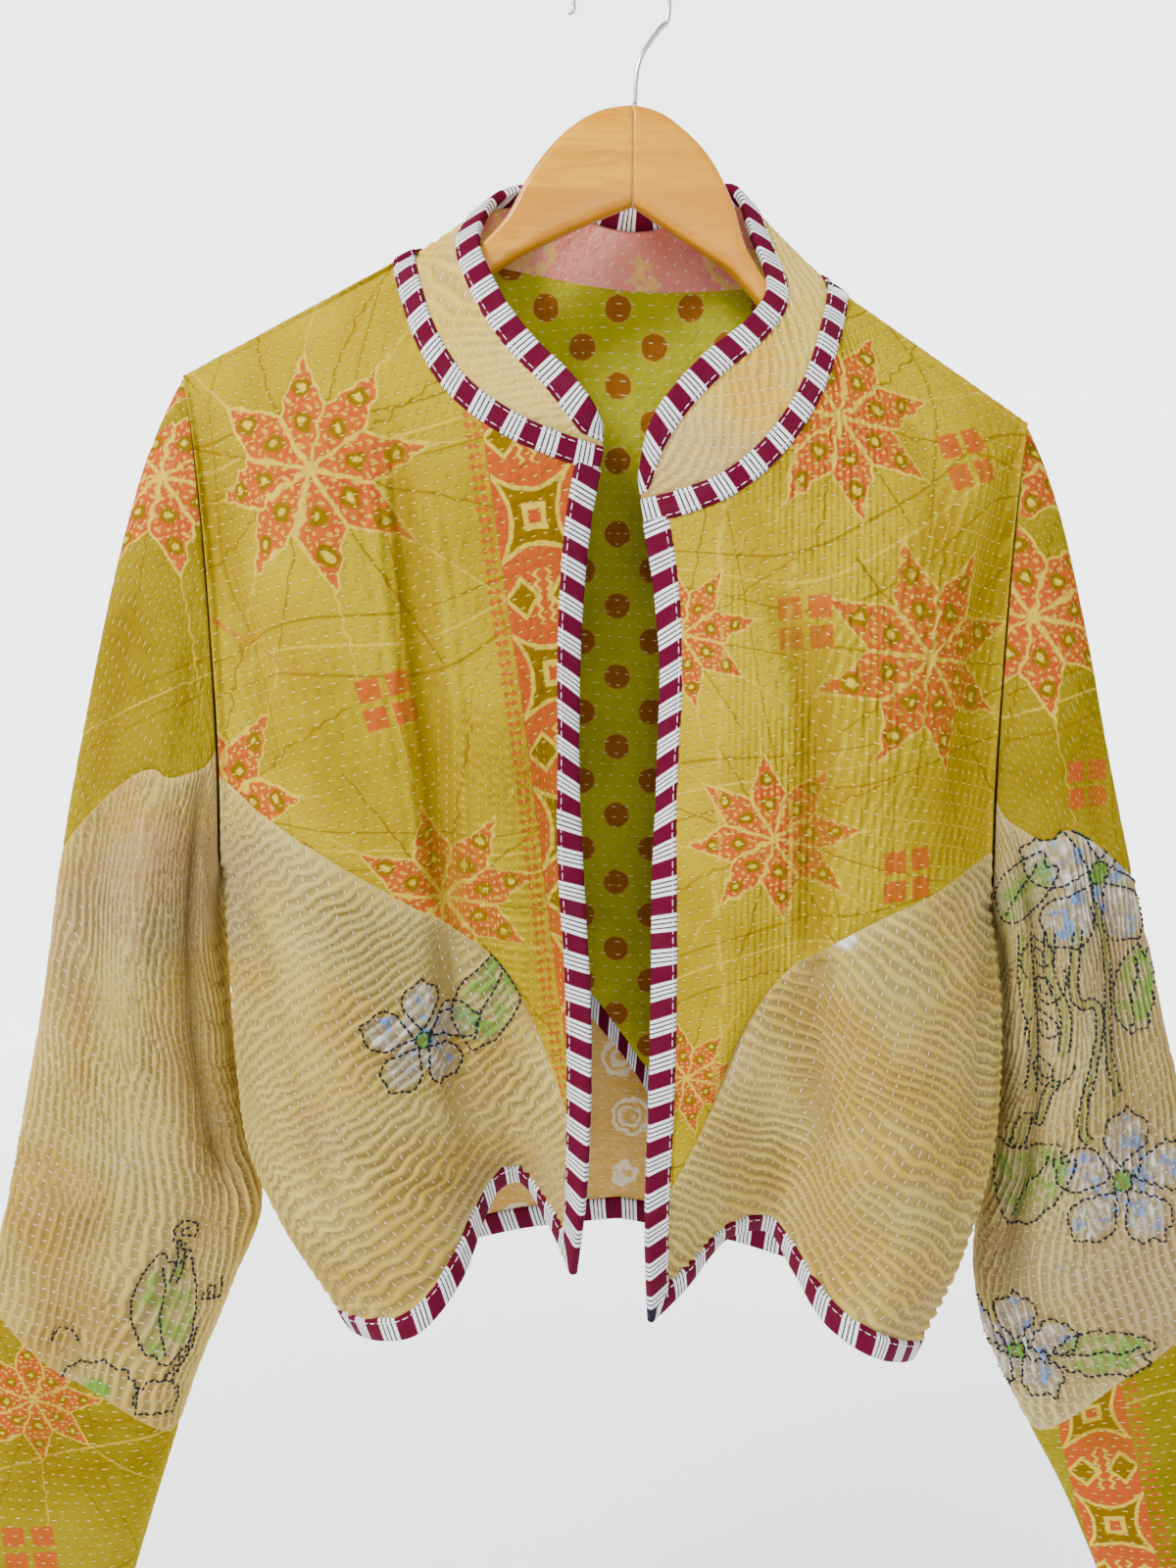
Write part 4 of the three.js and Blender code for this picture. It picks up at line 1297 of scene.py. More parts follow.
@dataclass
class Threads:
    """Hand stitches in one thread, each a short rounded tube that dips into the cloth.

    Attributes:
        name: of the piece.
        radius: of the thread, in metres.
        stitch: length of a stitch, in metres.
        gap: between stitches, in metres.
    """

    name: str
    radius: float
    stitch: float
    gap: float
    SIDES = 5
    RINGS = 4
    parts: list[tuple[Array, Array]] = field(default_factory=list)

    def sew(self, points: Array, normals: Array) -> None:
        """Adds a row of stitches along a line.

        Args:
            points: the line, at the cloth's face.
            normals: directions out of the cloth along it.
        """
        steps = np.linalg.norm(np.diff(points, axis=0), axis=1)
        length = np.concatenate([[0.0], np.cumsum(steps)])
        count = max(1, int(length[-1] / (self.stitch + self.gap)))
        starts = np.linspace(0, length[-1], count, endpoint=False)
        share = np.linspace(0, 1, self.RINGS)
        at = (starts[:, None] + share[None, :] * self.stitch).ravel()
        centre, up = (
            np.stack([np.interp(at, length, rows[:, k]) for k in range(3)], -1)
            for rows in (points, normals)
        )
        arch = np.tile(np.sin(share * math.pi) * 1.3 - 0.5, count) * self.radius
        centre = centre + up * arch[:, None]
        self.parts.append((centre.reshape(count, self.RINGS, 3), up.reshape(count, self.RINGS, 3)))

    def build(self, material: bpy.types.Material) -> bpy.types.Object:
        """Makes all the stitches as one piece.

        Args:
            material: its finish.

        Returns:
            The object.
        """
        centre = np.concatenate([part[0] for part in self.parts])
        up = np.concatenate([part[1] for part in self.parts])
        along = np.gradient(centre, axis=1)
        along /= np.maximum(np.linalg.norm(along, axis=-1, keepdims=True), 1e-9)
        side = np.cross(along, up)
        side /= np.maximum(np.linalg.norm(side, axis=-1, keepdims=True), 1e-9)
        up = np.cross(side, along)
        turn = np.linspace(0, 2 * math.pi, self.SIDES, endpoint=False)
        taper = np.array([0.6, 1.0, 1.0, 0.6])[None, :, None, None] * self.radius
        c, s = np.cos(turn)[None, None, :, None], np.sin(turn)[None, None, :, None]
        rings = centre[:, :, None] + taper * (side[:, :, None] * c + up[:, :, None] * s)
        stitches = len(centre)
        ids = np.arange(stitches * self.RINGS * self.SIDES).reshape(stitches, self.RINGS, self.SIDES)
        a, d = ids[:, :-1], ids[:, 1:]
        b, c2 = np.roll(a, -1, axis=2), np.roll(d, -1, axis=2)
        quads = np.stack([a, d, c2, b], -1).reshape(-1, 4)
        builder = MeshBuilder()
        builder.add(as_rows(rings), [quads, ids[:, 0], ids[:, -1, ::-1]], {})
        return builder.build(self.name, material)


class Varying:
    """A number or vector that varies over a surface; sums of it become nodes."""

    def __init__(self, graph: "Graph", socket: Socket) -> None:
        """Keeps the graph, and the socket that gives the number."""
        self.graph = graph
        self.socket = socket

    def __add__(self, other: "Varying | float") -> "Varying":
        """This plus another."""
        return self.graph.math("ADD", self, other)

    def __sub__(self, other: "Varying | float") -> "Varying":
        """This less another."""
        return self.graph.math("SUBTRACT", self, other)

    def __rsub__(self, other: float) -> "Varying":
        """A plain number less this."""
        return self.graph.math("SUBTRACT", other, self)

    def __mul__(self, other: "Varying | float") -> "Varying":
        """This times another."""
        return self.graph.math("MULTIPLY", self, other)

    def __abs__(self) -> "Varying":
        """Its size without the sign."""
        return self.graph.math("ABSOLUTE", self)


Value = Varying | float
Ink = Socket | Colour
Triple = tuple[Varying, Varying, Varying]


class Graph:
    """Writes a material's nodes in plain steps."""

    def __init__(self, name: str) -> None:
        """Makes the material with its shader.

        Args:
            name: of the material.
        """
        self.material = bpy.data.materials.new(name)
        self.material.use_nodes = True
        self.tree = self.material.node_tree
        self.tree.nodes.clear()
        self.shader = self.node("ShaderNodeBsdfPrincipled")
        output = self.node("ShaderNodeOutputMaterial")
        self.tree.links.new(self.shader.outputs[0], output.inputs[0])

    def node(self, kind: str, **settings: object) -> bpy.types.Node:
        """Adds a node.

        Args:
            kind: its type.
            settings: values of its properties.

        Returns:
            The node.
        """
        node = self.tree.nodes.new(kind)
        for key, value in settings.items():
            setattr(node, key, value)
        return node

    def put(self, socket: Socket, value: Value | Ink) -> None:
        """Links a socket to what varies, or sets its own value.

        Args:
            socket: the socket to feed.
            value: what it is given.
        """
        if isinstance(value, Varying):
            value = value.socket
        if isinstance(value, bpy.types.NodeSocket):
            self.tree.links.new(value, socket)
        elif isinstance(value, tuple):
            socket.default_value = (*value, 1.0)[: len(socket.default_value)]
        else:
            socket.default_value = value

    def fill(self, node: bpy.types.Node, *values: Value) -> Varying:
        """Feeds a node's first sockets.

        Args:
            node: the node.
            values: one for each socket, in order.

        Returns:
            The node's first result.
        """
        for socket, value in zip(node.inputs, values):
            self.put(socket, value)
        return Varying(self, node.outputs[0])

    def math(self, operation: str, *values: Value) -> Varying:
        """Result of one sum."""
        return self.fill(self.node("ShaderNodeMath", operation=operation), *values)

    def distance(self, x: Varying, z: Varying) -> Varying:
        """Length of a flat step."""
        return self.math("SQRT", x * x + z * z)

    def folded(self, place: Varying, period: float) -> Varying:
        """Distance from the middle of the period that a place is in."""
        return abs(self.math("FRACT", place * (1 / period)) - 0.5) * period

    def below(self, value: Value, edge: float, soft: float) -> Varying:
        """1 where a value is below an edge and 0 above it, softly."""
        node = self.node("ShaderNodeMapRange", interpolation_type="SMOOTHSTEP")
        return self.fill(node, value, edge - soft, edge + soft, 1.0, 0.0)

    def above(self, value: Varying, edge: float, soft: float) -> Varying:
        """1 where a value is above an edge and 0 below it, softly."""
        return self.below(0.0 - value, -edge, soft)

    def line(self, value: Varying, at: float, half: float, soft: float) -> Varying:
        """1 on a band about a value."""
        return self.below(abs(value - at), half, soft)

    def split(self, vector: Socket) -> Triple:
        """The three numbers of a vector.

        Args:
            vector: socket that gives it.

        Returns:
            The numbers.
        """
        node = self.node("ShaderNodeSeparateXYZ")
        self.put(node.inputs[0], vector)
        x, y, z = node.outputs
        return Varying(self, x), Varying(self, y), Varying(self, z)

    def attribute(self, name: str) -> Triple:
        """The three numbers of a named value of the mesh."""
        return self.split(self.node("ShaderNodeAttribute", attribute_name=name).outputs["Vector"])

    def object_place(self) -> Socket:
        """Place on the object, in metres."""
        return self.node("ShaderNodeTexCoord").outputs["Object"]

    def vector(self, x: Value, y: Value, z: Value = 0.0) -> Varying:
        """A vector from three numbers."""
        return self.fill(self.node("ShaderNodeCombineXYZ"), x, y, z)

    def noise(
        self, place: Varying | Socket, size: float, detail: float = 1.0, solid: bool = False
    ) -> Varying:
        """Smooth noise from 0 to 1.

        Args:
            place: where it is read.
            size: usual width of its patches, in metres.
            detail: number of finer layers.
            solid: True where all three numbers of the place count.

        Returns:
            The noise.
        """
        node = self.node("ShaderNodeTexNoise", noise_dimensions="3D" if solid else "2D")
        self.put(node.inputs["Vector"], place)
        self.put(node.inputs["Scale"], 1 / size)
        self.put(node.inputs["Detail"], detail)
        return Varying(self, node.outputs[0])

    def mix(self, share: Value, a: Ink, b: Ink) -> Socket:
        """Blends two colours.

        Args:
            share: 0 for the first and 1 for the second.
            a: the first.
            b: the second.

        Returns:
            The blend.
        """
        node = self.node("ShaderNodeMix", data_type="RGBA")
        for number, value in ((0, share), (6, a), (7, b)):
            self.put(node.inputs[number], value)
        return node.outputs[2]

    def paint(self, colour: Ink, tint: Colour, mask: Varying, strength: float) -> Socket:
        """The colour, with a tint laid over it at a strength where the mask is 1."""
        return self.mix(mask * strength, colour, tint)

    def shade(self, **values: Value | Ink) -> None:
        """Feeds the shader's sockets, whose names have _ for each space."""
        for name, value in values.items():
            self.put(self.shader.inputs[name.replace("_", " ")], value)

    def bump(self, height: Varying, depth: float) -> None:
        """Raises the shader's surface.

        Args:
            height: of the relief.
            depth: of one unit of it, in metres.
        """
        node = self.node("ShaderNodeBump")
        for name, value in (("Strength", 1.0), ("Distance", depth), ("Height", height)):
            self.put(node.inputs[name], value)
        self.put(self.shader.inputs["Normal"], node.outputs[0])


@dataclass(frozen=True)
class Strip:
    """The woven-in border of a printed cloth.

    Attributes:
        start: pattern x and z of a point on its outer line, in metres.
        turn: angle of its length from straight down, in degrees.
        way: 1 where its blocks lie on the +x side of that line, -1 on the other.
        width: of the band with the blocks, in millimetres.
    """

    start: tuple[float, float]
    turn: float
    way: int = 1
    width: float = 70.0


@dataclass(frozen=True)
class ClothFinish:
    """Finish shared by the quilted cloths.

    Attributes:
        name: of the material.
        base: main colour.
        pale: colour of the worn patches.
        dark: colour of the stained patches.
        thread: colour of the quilting stitches.
        stagger: True where the stitches are staggered.
        row_pitch: distance between stitch rows, in metres.
        darkening: how far the troughs between ripples and creases go over to their own colour, painted shade
            and dirt there.
        trough: colour laid in the troughs, painted shade and dirt.
        cords: pitch, lowest x and highest x of fine upright cords, in metres, if any.
    """

    name: str
    base: Colour
    pale: Colour
    dark: Colour
    thread: Colour = (0.86, 0.83, 0.74)
    stagger: bool = False
    row_pitch: float = 5.8 * MM
    soil: float = 0.6
    trough: Colour = (0.20, 0.125, 0.04)
    cords: tuple[float, float, float] | None = None

    def ground(self, graph: Graph, place: Varying) -> Socket:
        """Colour of the bare cloth, washed and mottled.

        Args:
            graph: the material's nodes.
            place: on the cloth's pattern.

        Returns:
            The colour.
        """
        wide = graph.noise(place, 0.085, 2.0)
        near = graph.noise(place, 0.018, 2.0)
        colour = graph.paint(self.base, self.pale, graph.below(wide, 0.44, 0.1), 0.7)
        colour = graph.paint(colour, self.dark, graph.below(1.0 - wide, 0.40, 0.1), 0.55)
        return graph.paint(colour, self.pale, graph.below(near, 0.47, 0.14), 0.3)

    def stitches(self, graph: Graph) -> Varying:
        """1 on the quilting thread.

        Args:
            graph: the material's nodes.

        Returns:
            The mask.
        """
        rows, stitches, _ = graph.attribute("quilt_place")
        if self.stagger:
            odd = graph.math("MODULO", graph.math("FLOOR", rows), 2.0)
            stitches = stitches + odd * 0.5
        across = graph.folded(rows, 1.0) * (self.row_pitch / MM)
        return graph.below(across, 0.25, 0.12) * graph.below(graph.folded(stitches, 1.0), 0.16, 0.04)

    def figure(self, graph: Graph, colour: Ink, x: Varying, z: Varying, place: Varying) -> Ink:
        """Adds the cloth's print; the plain cloth has none.

        Args:
            graph: the material's nodes.
            colour: of the bare cloth.
            x: pattern place across.
            z: pattern place down.
            place: both as a vector.

        Returns:
            The colour with the print.
        """
        return colour

    def relief(self, graph: Graph, thread: Varying, x: Varying, place: Varying) -> Varying:
        """Height of the thread, the weave, the crinkles and the cords.

        Args:
            graph: the material's nodes.
            thread: 1 on the quilting thread.
            x: pattern place across.
            place: on the cloth's pattern.

        Returns:
            The height.
        """
        height = thread * 0.6 + graph.noise(place, 0.0011, 0.0) * 0.28
        height = height + graph.noise(place, 0.006, 2.0) * 2.1
        if not self.cords:
            return height
        pitch, low, high = self.cords
        cord = graph.math("COSINE", x * (2 * math.pi / pitch))
        here = graph.line(x, (low + high) / 2, (high - low) / 2, 0.012)
        here = here * graph.below(graph.noise(place, 0.045), 0.62, 0.12)
        return height + cord * here * 0.42

    def material(self) -> bpy.types.Material:
        """Makes the material."""
        graph = Graph(self.name)
        x, z, _ = graph.attribute("print_place")
        place = graph.vector(x, z)
        colour = self.figure(graph, self.ground(graph, place), x, z, place)
        # Painted shade and dirt: low ripples and crease troughs go over to the trough colour.
        ridge = graph.attribute("quilt_place")[2]
        colour = graph.paint(colour, self.trough, graph.below(ridge, -0.12, 0.42), self.soil)
        thread = self.stitches(graph)
        colour = graph.paint(colour, self.thread, thread, 0.9)
        graph.shade(Base_Color=colour, Roughness=0.92, Specular_IOR_Level=0.0)
        graph.bump(self.relief(graph, thread, x, place), 0.6 * MM)
        return graph.material


@dataclass(frozen=True)
class PrintedFinish(ClothFinish):
    """Ochre cloth printed with eight-petalled stars, squares, fine lines and a border.

    Attributes:
        coral: colour of the figures.
        outline: colour of their wavy outlines.
        umber: colour of rings and fine lines.
        strip: the border, if it has one.
        streaks: pattern x of worn pale lines.
    """

    coral: Colour = (0.45, 0.066, 0.013)
    outline: Colour = (0.60, 0.43, 0.035)
    umber: Colour = (0.19, 0.105, 0.002)
    strip: Strip | None = None
    streaks: tuple[float, ...] = ()

    # A petal spans 45 degrees: slope of its sides, then cosine and sine of the ray beside it
    PETAL_SLOPE = 2.414
    RAY_COSINE = 0.3827
    RAY_SINE = 0.9239
    RINGS_AT = (0.42, 0.74)

    # Sizes of the border in millimetres: middle of the blocks across, their half sizes, their pitch
    BLOCK_MIDDLE = 26.0
    BLOCK_WIDE = 18.0
    BLOCK_LONG = 20.0
    BLOCK_PITCH = 71.0

    def star(self, graph: Graph, colour: Ink, place: Varying) -> Socket:
        """Adds the stars with their rings, dots and rays.

        Args:
            graph: the material's nodes.
            colour: of the cloth.
            place: on the cloth's pattern.

        Returns:
            The colour with the stars.
        """
        sx, sz, on = graph.attribute("star_place")
        wobble = (graph.noise(place, 0.006, 0.0) - 0.5) * 0.07
        sx, sz = sx + wobble, sz - wobble
        away = graph.distance(sx, sz)
        turn = graph.math("ARCTAN2", sz, sx) * (4 / math.pi)
        turn = abs(turn - graph.math("ROUND", turn)) * (math.pi / 4)
        px, pz = away * graph.math("COSINE", turn), away * graph.math("SINE", turn)
        rim = px + pz * self.PETAL_SLOPE - 1.0
        in_rim = graph.below(rim, 0.03, 0.02)
        inside = in_rim * on
        fold = px * self.RAY_COSINE - pz * self.RAY_SINE
        reach = graph.below(away, 2.3, 0.5)
        rays = graph.below(abs(fold), 0.011, 0.006) * on
        colour = graph.paint(colour, self.umber, rays * reach, 0.8)
        tips = graph.below(pz, 0.010, 0.006) * on
        colour = graph.paint(colour, self.outline, tips * reach, 0.6)
        worn = graph.noise(place, 0.012) * 0.3 + 0.78
        colour = graph.mix(inside * worn, colour, self.coral)
        dots = graph.distance(graph.folded(px, 0.085), graph.folded(pz, 0.085))
        colour = graph.paint(colour, self.outline, graph.below(dots, 0.019, 0.008) * inside, 0.75)
        for centre in self.RINGS_AT:
            ring = graph.distance(px - centre, pz)
            colour = graph.mix(graph.below(ring, 0.085, 0.014) * inside, colour, self.umber)
            colour = graph.mix(graph.below(ring, 0.035, 0.012) * inside, colour, self.outline)
        seams = graph.below(abs(fold), 0.021, 0.009) * in_rim
        drawn = graph.math("MAXIMUM", seams, graph.line(rim, 0.05, 0.036, 0.014)) * on
        return graph.paint(colour, self.outline, drawn, 0.92)

    def windows(self, graph: Graph, colour: Ink) -> Socket:
        """Adds the groups of four squares.

        Args:
            graph: the material's nodes.
            colour: of the cloth.

        Returns:
            The colour with the squares.
        """
        wx, wz, on = graph.attribute("window_place")
        wide = graph.math("MAXIMUM", abs(wx), abs(wz))
        gap = graph.math("MINIMUM", abs(wx), abs(wz))
        pane = graph.below(wide, 0.95, 0.06) * graph.above(gap, 0.13, 0.04)
        return graph.paint(colour, self.coral, pane * on, 0.88)

    def lines(self, graph: Graph, colour: Ink, x: Varying, z: Varying, place: Varying) -> Socket:
        """Adds the fine curved lines between the stars.

        Args:
            graph: the material's nodes.
            colour: of the cloth so far.
            x: pattern place across.
            z: pattern place down.
            place: pattern place as a vector.

        Returns:
            The colour with the lines.
        """
        bend = graph.noise(place, 0.12, 0.0) * 0.05
        level = z - x * 0.22 + bend
        trio = ((0.0, self.umber, 0.75), (0.011, self.outline, 0.7), (0.022, self.umber, 0.7))
        for offset, tint, strength in trio:
            band = graph.folded(level + offset, 0.098)
            colour = graph.paint(colour, tint, graph.below(band, 0.00055, 0.0003), strength)
        band = graph.folded(x + z * 0.16 + bend, 0.083)
        return graph.paint(colour, self.umber, graph.below(band, 0.0005, 0.0003), 0.65)

    def border(self, graph: Graph, colour: Ink, x: Varying, z: Varying, place: Varying) -> Socket:
        """Adds small diamonds, a band and square blocks.

        Args:
            graph: the material's nodes.
            colour: of the cloth so far.
            x: pattern place across.
            z: pattern place down.
            place: pattern place as a vector.

        Returns:
            The colour with the border.
        """
        strip = self.strip
        c, s = math.cos(math.radians(strip.turn)), math.sin(math.radians(strip.turn))
        wave = (graph.noise(place, 0.006) - 0.5) * 0.0012
        dx, dz = x - strip.start[0], z - strip.start[1]
        across = (dx * (c * strip.way) + dz * (s * strip.way) + wave) * 1000.0
        along = (dx * s - dz * c + wave) * 1000.0
        chain = graph.folded(across, 3.3) + graph.folded(along, 4.6)
        in_chain = graph.above(across, 0.0, 0.15) * graph.below(across, 6.6, 0.1)
        colour = graph.paint(colour, self.coral, graph.below(chain, 1.75, 0.25) * in_chain, 0.85)
        band = graph.below(across, strip.width, 0.3)
        colour = graph.paint(colour, self.coral, graph.above(across, 8.0, 0.15) * band, 0.93)
        inner = graph.above(across, 8.5, 0.15) * band
        repeat = graph.math("FRACT", along * (1 / self.BLOCK_PITCH)) - 0.5
        p = abs((across - self.BLOCK_MIDDLE) * (1 / self.BLOCK_WIDE))
        signed_q = repeat * (self.BLOCK_PITCH / self.BLOCK_LONG)
        q = abs(signed_q)
        block = graph.math("MAXIMUM", p - q * q * 0.4, q - p * p * 0.4)
        square = graph.math("MAXIMUM", p, q)
        between = self.BLOCK_PITCH / (2 * self.BLOCK_LONG) - q
        lozenge = abs(p - 0.56) + between
        for shape, tint in (
            (graph.below(block, 0.6, 0.02), self.umber),
            (graph.line(block, 0.6, 0.055, 0.02), self.outline),
            (graph.below(square, 0.3, 0.02), self.outline),
            (graph.below(square, 0.16, 0.02), self.coral),
            (graph.below(lozenge, 0.5, 0.03), self.outline),
            (graph.below(lozenge, 0.36, 0.03), self.umber),
        ):
            colour = graph.mix(shape * inner, colour, tint)
        zigzag = graph.folded(signed_q + 10.0, 0.24) - p
        bolt = graph.line(zigzag, -0.1, 0.05, 0.02) * graph.below(between, 0.62, 0.04)
        return graph.mix(bolt * inner, colour, self.outline)

    def figure(self, graph: Graph, colour: Ink, x: Varying, z: Varying, place: Varying) -> Ink:
        """Adds lines, stars, squares, worn streaks and the border.

        Args:
            graph: the material's nodes.
            colour: of the cloth so far.
            x: pattern place across.
            z: pattern place down.
            place: pattern place as a vector.

        Returns:
            The colour with the print.
        """
        colour = self.lines(graph, colour, x, z, place)
        colour = self.star(graph, colour, place)
        colour = self.windows(graph, colour)
        for at in self.streaks:
            sway = graph.noise(place, 0.05) * 0.012
            mark = graph.line(x + sway, at + 0.006, 0.0011, 0.0012)
            broken = graph.below(graph.noise(place, 0.008), 0.52, 0.1)
            colour = graph.paint(colour, self.outline, mark * broken, 0.6)
        return self.border(graph, colour, x, z, place) if self.strip else colour


@dataclass(frozen=True)
class BeigeFinish(ClothFinish):
    """Washed beige cloth with faded patches and painted flowers under the embroidery.

    Attributes:
        blush: colour of the pinkish-grey stains.
        moss: colour of the greenish stains.
        dabs: pattern x and z, size in metres, and colour of single stains.
    """

    blush: Colour = (0.40, 0.26, 0.19)
    moss: Colour = (0.36, 0.36, 0.15)
    dabs: tuple[tuple[float, float, float, Colour], ...] = ()

    PETAL_GREY = (0.40, 0.385, 0.33)
    PETAL_WHITE = (0.75, 0.74, 0.70)
    PETAL_BLUE = (0.06, 0.26, 0.66)
    EYE_GREEN = (0.07, 0.30, 0.015)
    STEM_OLIVE = (0.27, 0.28, 0.06)
    LEAF_DULL = (0.33, 0.35, 0.17)
    LEAF_GREEN = (0.10, 0.32, 0.025)

    def stained(self, graph: Graph, colour: Ink, x: Varying, z: Varying) -> Socket:
        """Adds wide pinkish and greenish stains.

        Args:
            graph: the material's nodes.
            colour: of the cloth.
            x: pattern place across.
            z: pattern place down.

        Returns:
            The colour with the stains.
        """
        pink = graph.below(graph.noise(graph.vector(x + 3.1, z + 1.7), 0.11), 0.36, 0.08)
        colour = graph.paint(colour, self.blush, pink, 0.4)
        green = graph.below(graph.noise(graph.vector(x + 9.4, z), 0.12), 0.35, 0.07)
        return graph.paint(colour, self.moss, green, 0.3)

    def petals(self, graph: Graph, colour: Ink, patch: Varying) -> Socket:
        """Adds the flowers in worn grey, white and blue.

        Args:
            graph: the material's nodes.
            colour: of the cloth.
            patch: noise that parts the worn places from the bright ones.

        Returns:
            The colour with the flowers.
        """
        bx, bz, on = graph.attribute("bloom_place")
        away = graph.distance(bx, bz)
        lobes = abs(graph.math("COSINE", graph.math("ARCTAN2", bz, bx) * 2.5))
        petal = graph.below(away - (lobes * 0.5 + 0.42), 0.0, 0.08) * on
        colour = graph.paint(colour, self.PETAL_GREY, petal, 0.6)
        white = petal * graph.below(1.0 - patch, 0.42, 0.05)
        colour = graph.paint(colour, self.PETAL_WHITE, white, 0.6)
        blue = petal * graph.below(patch, 0.40, 0.04)
        colour = graph.paint(colour, self.PETAL_BLUE, blue, 0.75)
        return graph.paint(colour, self.EYE_GREEN, graph.below(away, 0.15, 0.02) * on, 0.9)

    def leaves(self, graph: Graph, colour: Ink, patch: Varying) -> Socket:
        """Adds the leaves in worn and bright green.

        Args:
            graph: the material's nodes.
            colour: of the cloth.
            patch: noise that parts the worn places from the bright ones.

        Returns:
            The colour with the leaves.
        """
        lx, lz, on = graph.attribute("leaf_place")
        away = graph.math("SQRT", lx * lx + lz * lz * 4.0)
        leaf = graph.below(away, 0.95, 0.1) * on
        colour = graph.paint(colour, self.LEAF_DULL, leaf, 0.5)
        return graph.paint(colour, self.LEAF_GREEN, leaf * graph.below(patch, 0.52, 0.08), 0.75)

    def figure(self, graph: Graph, colour: Ink, x: Varying, z: Varying, place: Varying) -> Ink:
        """Adds stains, painted petals, stems and leaves, and single dabs.

        Args:
            graph: the material's nodes.
            colour: of the cloth so far.
            x: pattern place across.
            z: pattern place down.
            place: pattern place as a vector.

        Returns:
            The colour with the painting.
        """
        colour = self.stained(graph, colour, x, z)
        patch = graph.noise(place, 0.010, 2.0)
        colour = self.petals(graph, colour, patch)
        stem = graph.below(graph.attribute("vine_place")[0], 1.0, 0.15)
        colour = graph.paint(colour, self.STEM_OLIVE, stem, 0.7)
        colour = self.leaves(graph, colour, patch)
        for px, pz, size, tint in self.dabs:
            spread = graph.distance(x - px, z - pz) + (patch - 0.5) * size
            colour = graph.paint(colour, tint, graph.below(spread, size, size * 0.35), 0.85)
        return colour


@dataclass(frozen=True)
class DottedFinish(ClothFinish):
    """Olive lining with round rust dots in staggered rows.

    Attributes:
        dot: colour of the dots.
        rim: colour of their thin rims.
        row: distance between the rows, in metres.
        column: half the distance between the dots of a row, in metres.
        level: moves the rows up, in metres.
    """

    dot: Colour = (0.23, 0.060, 0.010)
    rim: Colour = (0.46, 0.30, 0.05)
    row: float = 0.0182
    column: float = 0.018
    level: float = 0.2605

    def figure(self, graph: Graph, colour: Ink, x: Varying, z: Varying, place: Varying) -> Ink:
        """Adds the dots.

        Args:
            graph: the material's nodes.
            colour: of the cloth so far.
            x: pattern place across.
            z: pattern place down.
            place: pattern place as a vector.

        Returns:
            The colour with the dots.
        """
        height = z + self.level
        odd = graph.math("MODULO", abs(graph.math("FLOOR", height * (1 / self.row))), 2.0)
        across = graph.folded(x + self.column + odd * self.column, 2 * self.column)
        away = graph.distance(across, graph.folded(height, self.row))
        away = away + (graph.noise(place, 0.004) - 0.5) * 0.0012
        colour = graph.paint(colour, self.rim, graph.below(away, 0.0074, 0.0003), 0.5)
        return graph.paint(colour, self.dot, graph.below(away, 0.0065, 0.0004), 0.9)


@dataclass(frozen=True)
class ScrollFinish(ClothFinish):
    """Faded lining with loose pale scrolls or flowers.

    Attributes:
        scroll: colour of the scrolls.
        spacing: usual distance between them, in metres.
    """

    scroll: Colour = (0.80, 0.72, 0.55)
    spacing: float = 0.03

    def figure(self, graph: Graph, colour: Ink, x: Varying, z: Varying, place: Varying) -> Ink:
        """Adds rings and lobes round scattered centres.

        Args:
            graph: the material's nodes.
            colour: of the cloth so far.
            x: pattern place across.
            z: pattern place down.
            place: pattern place as a vector.

        Returns:
            The colour with the scrolls.
        """
        node = graph.node("ShaderNodeTexVoronoi")
        for name, value in (("Vector", place), ("Scale", 1 / self.spacing), ("Randomness", 0.35)):
            graph.put(node.inputs[name], value)
        away = Varying(graph, node.outputs["Distance"])
        away = away + (graph.noise(place, 0.006) - 0.5) * 0.16
        outer, inner = graph.line(away, 0.34, 0.035, 0.02), graph.line(away, 0.2, 0.03, 0.02)
        rings = graph.math("MAXIMUM", outer, inner)
        drawn = graph.math("MAXIMUM", rings, graph.below(away, 0.09, 0.02))
        return graph.paint(colour, self.scroll, drawn, 0.75)


@dataclass(frozen=True)
class StripedFinish:
    """Woven tape in crimson and white bands, the white ones with fine dark lines.

    Attributes:
        name: of the material.
        period: length of one crimson and one white band, in metres.
        crimson: colour of the dark band.
        white: colour of the light band.
        ink: colour of the fine lines.
        darkening: colour of the soiled places.
        lines: places of the fine lines, as shares of the period.
    """

    name: str = "striped tape"
    period: float = 16.8 * MM
    crimson: Colour = (0.105, 0.0015, 0.020)
    white: Colour = (0.92, 0.91, 0.95)
    ink: Colour = (0.015, 0.015, 0.025)
    soil: Colour = (0.10, 0.03, 0.05)
    lines: tuple[float, ...] = (0.62, 0.75, 0.88)

    def material(self) -> bpy.types.Material:
        """Makes the material."""
        graph = Graph(self.name)
        along, across, seed = graph.attribute("tape_place")
        place = graph.vector(along + seed, across * TAPE_WIDTH)
        slant = (across - 0.5) * 0.0012
        wander = (graph.noise(place, 0.04) - 0.5) * 0.003
        at = along + slant + wander + seed * 0.0053
        share = graph.math("FRACT", at * (1 / self.period))
        colour = graph.mix(graph.line(share, 0.25, 0.25, 0.012), self.white, self.crimson)
        for centre in self.lines:
            colour = graph.mix(graph.line(share, centre, 0.022, 0.008), colour, self.ink)
        soiled = graph.below(graph.noise(place, 0.01), 0.42, 0.12)
        colour = graph.paint(colour, self.soil, soiled, 0.1)
        graph.shade(Base_Color=colour, Roughness=0.82, Specular_IOR_Level=0.08)
        graph.bump(graph.folded(at, 0.0007) * 900.0 + graph.noise(place, 0.005) * 1.2, 0.35 * MM)
        return graph.material


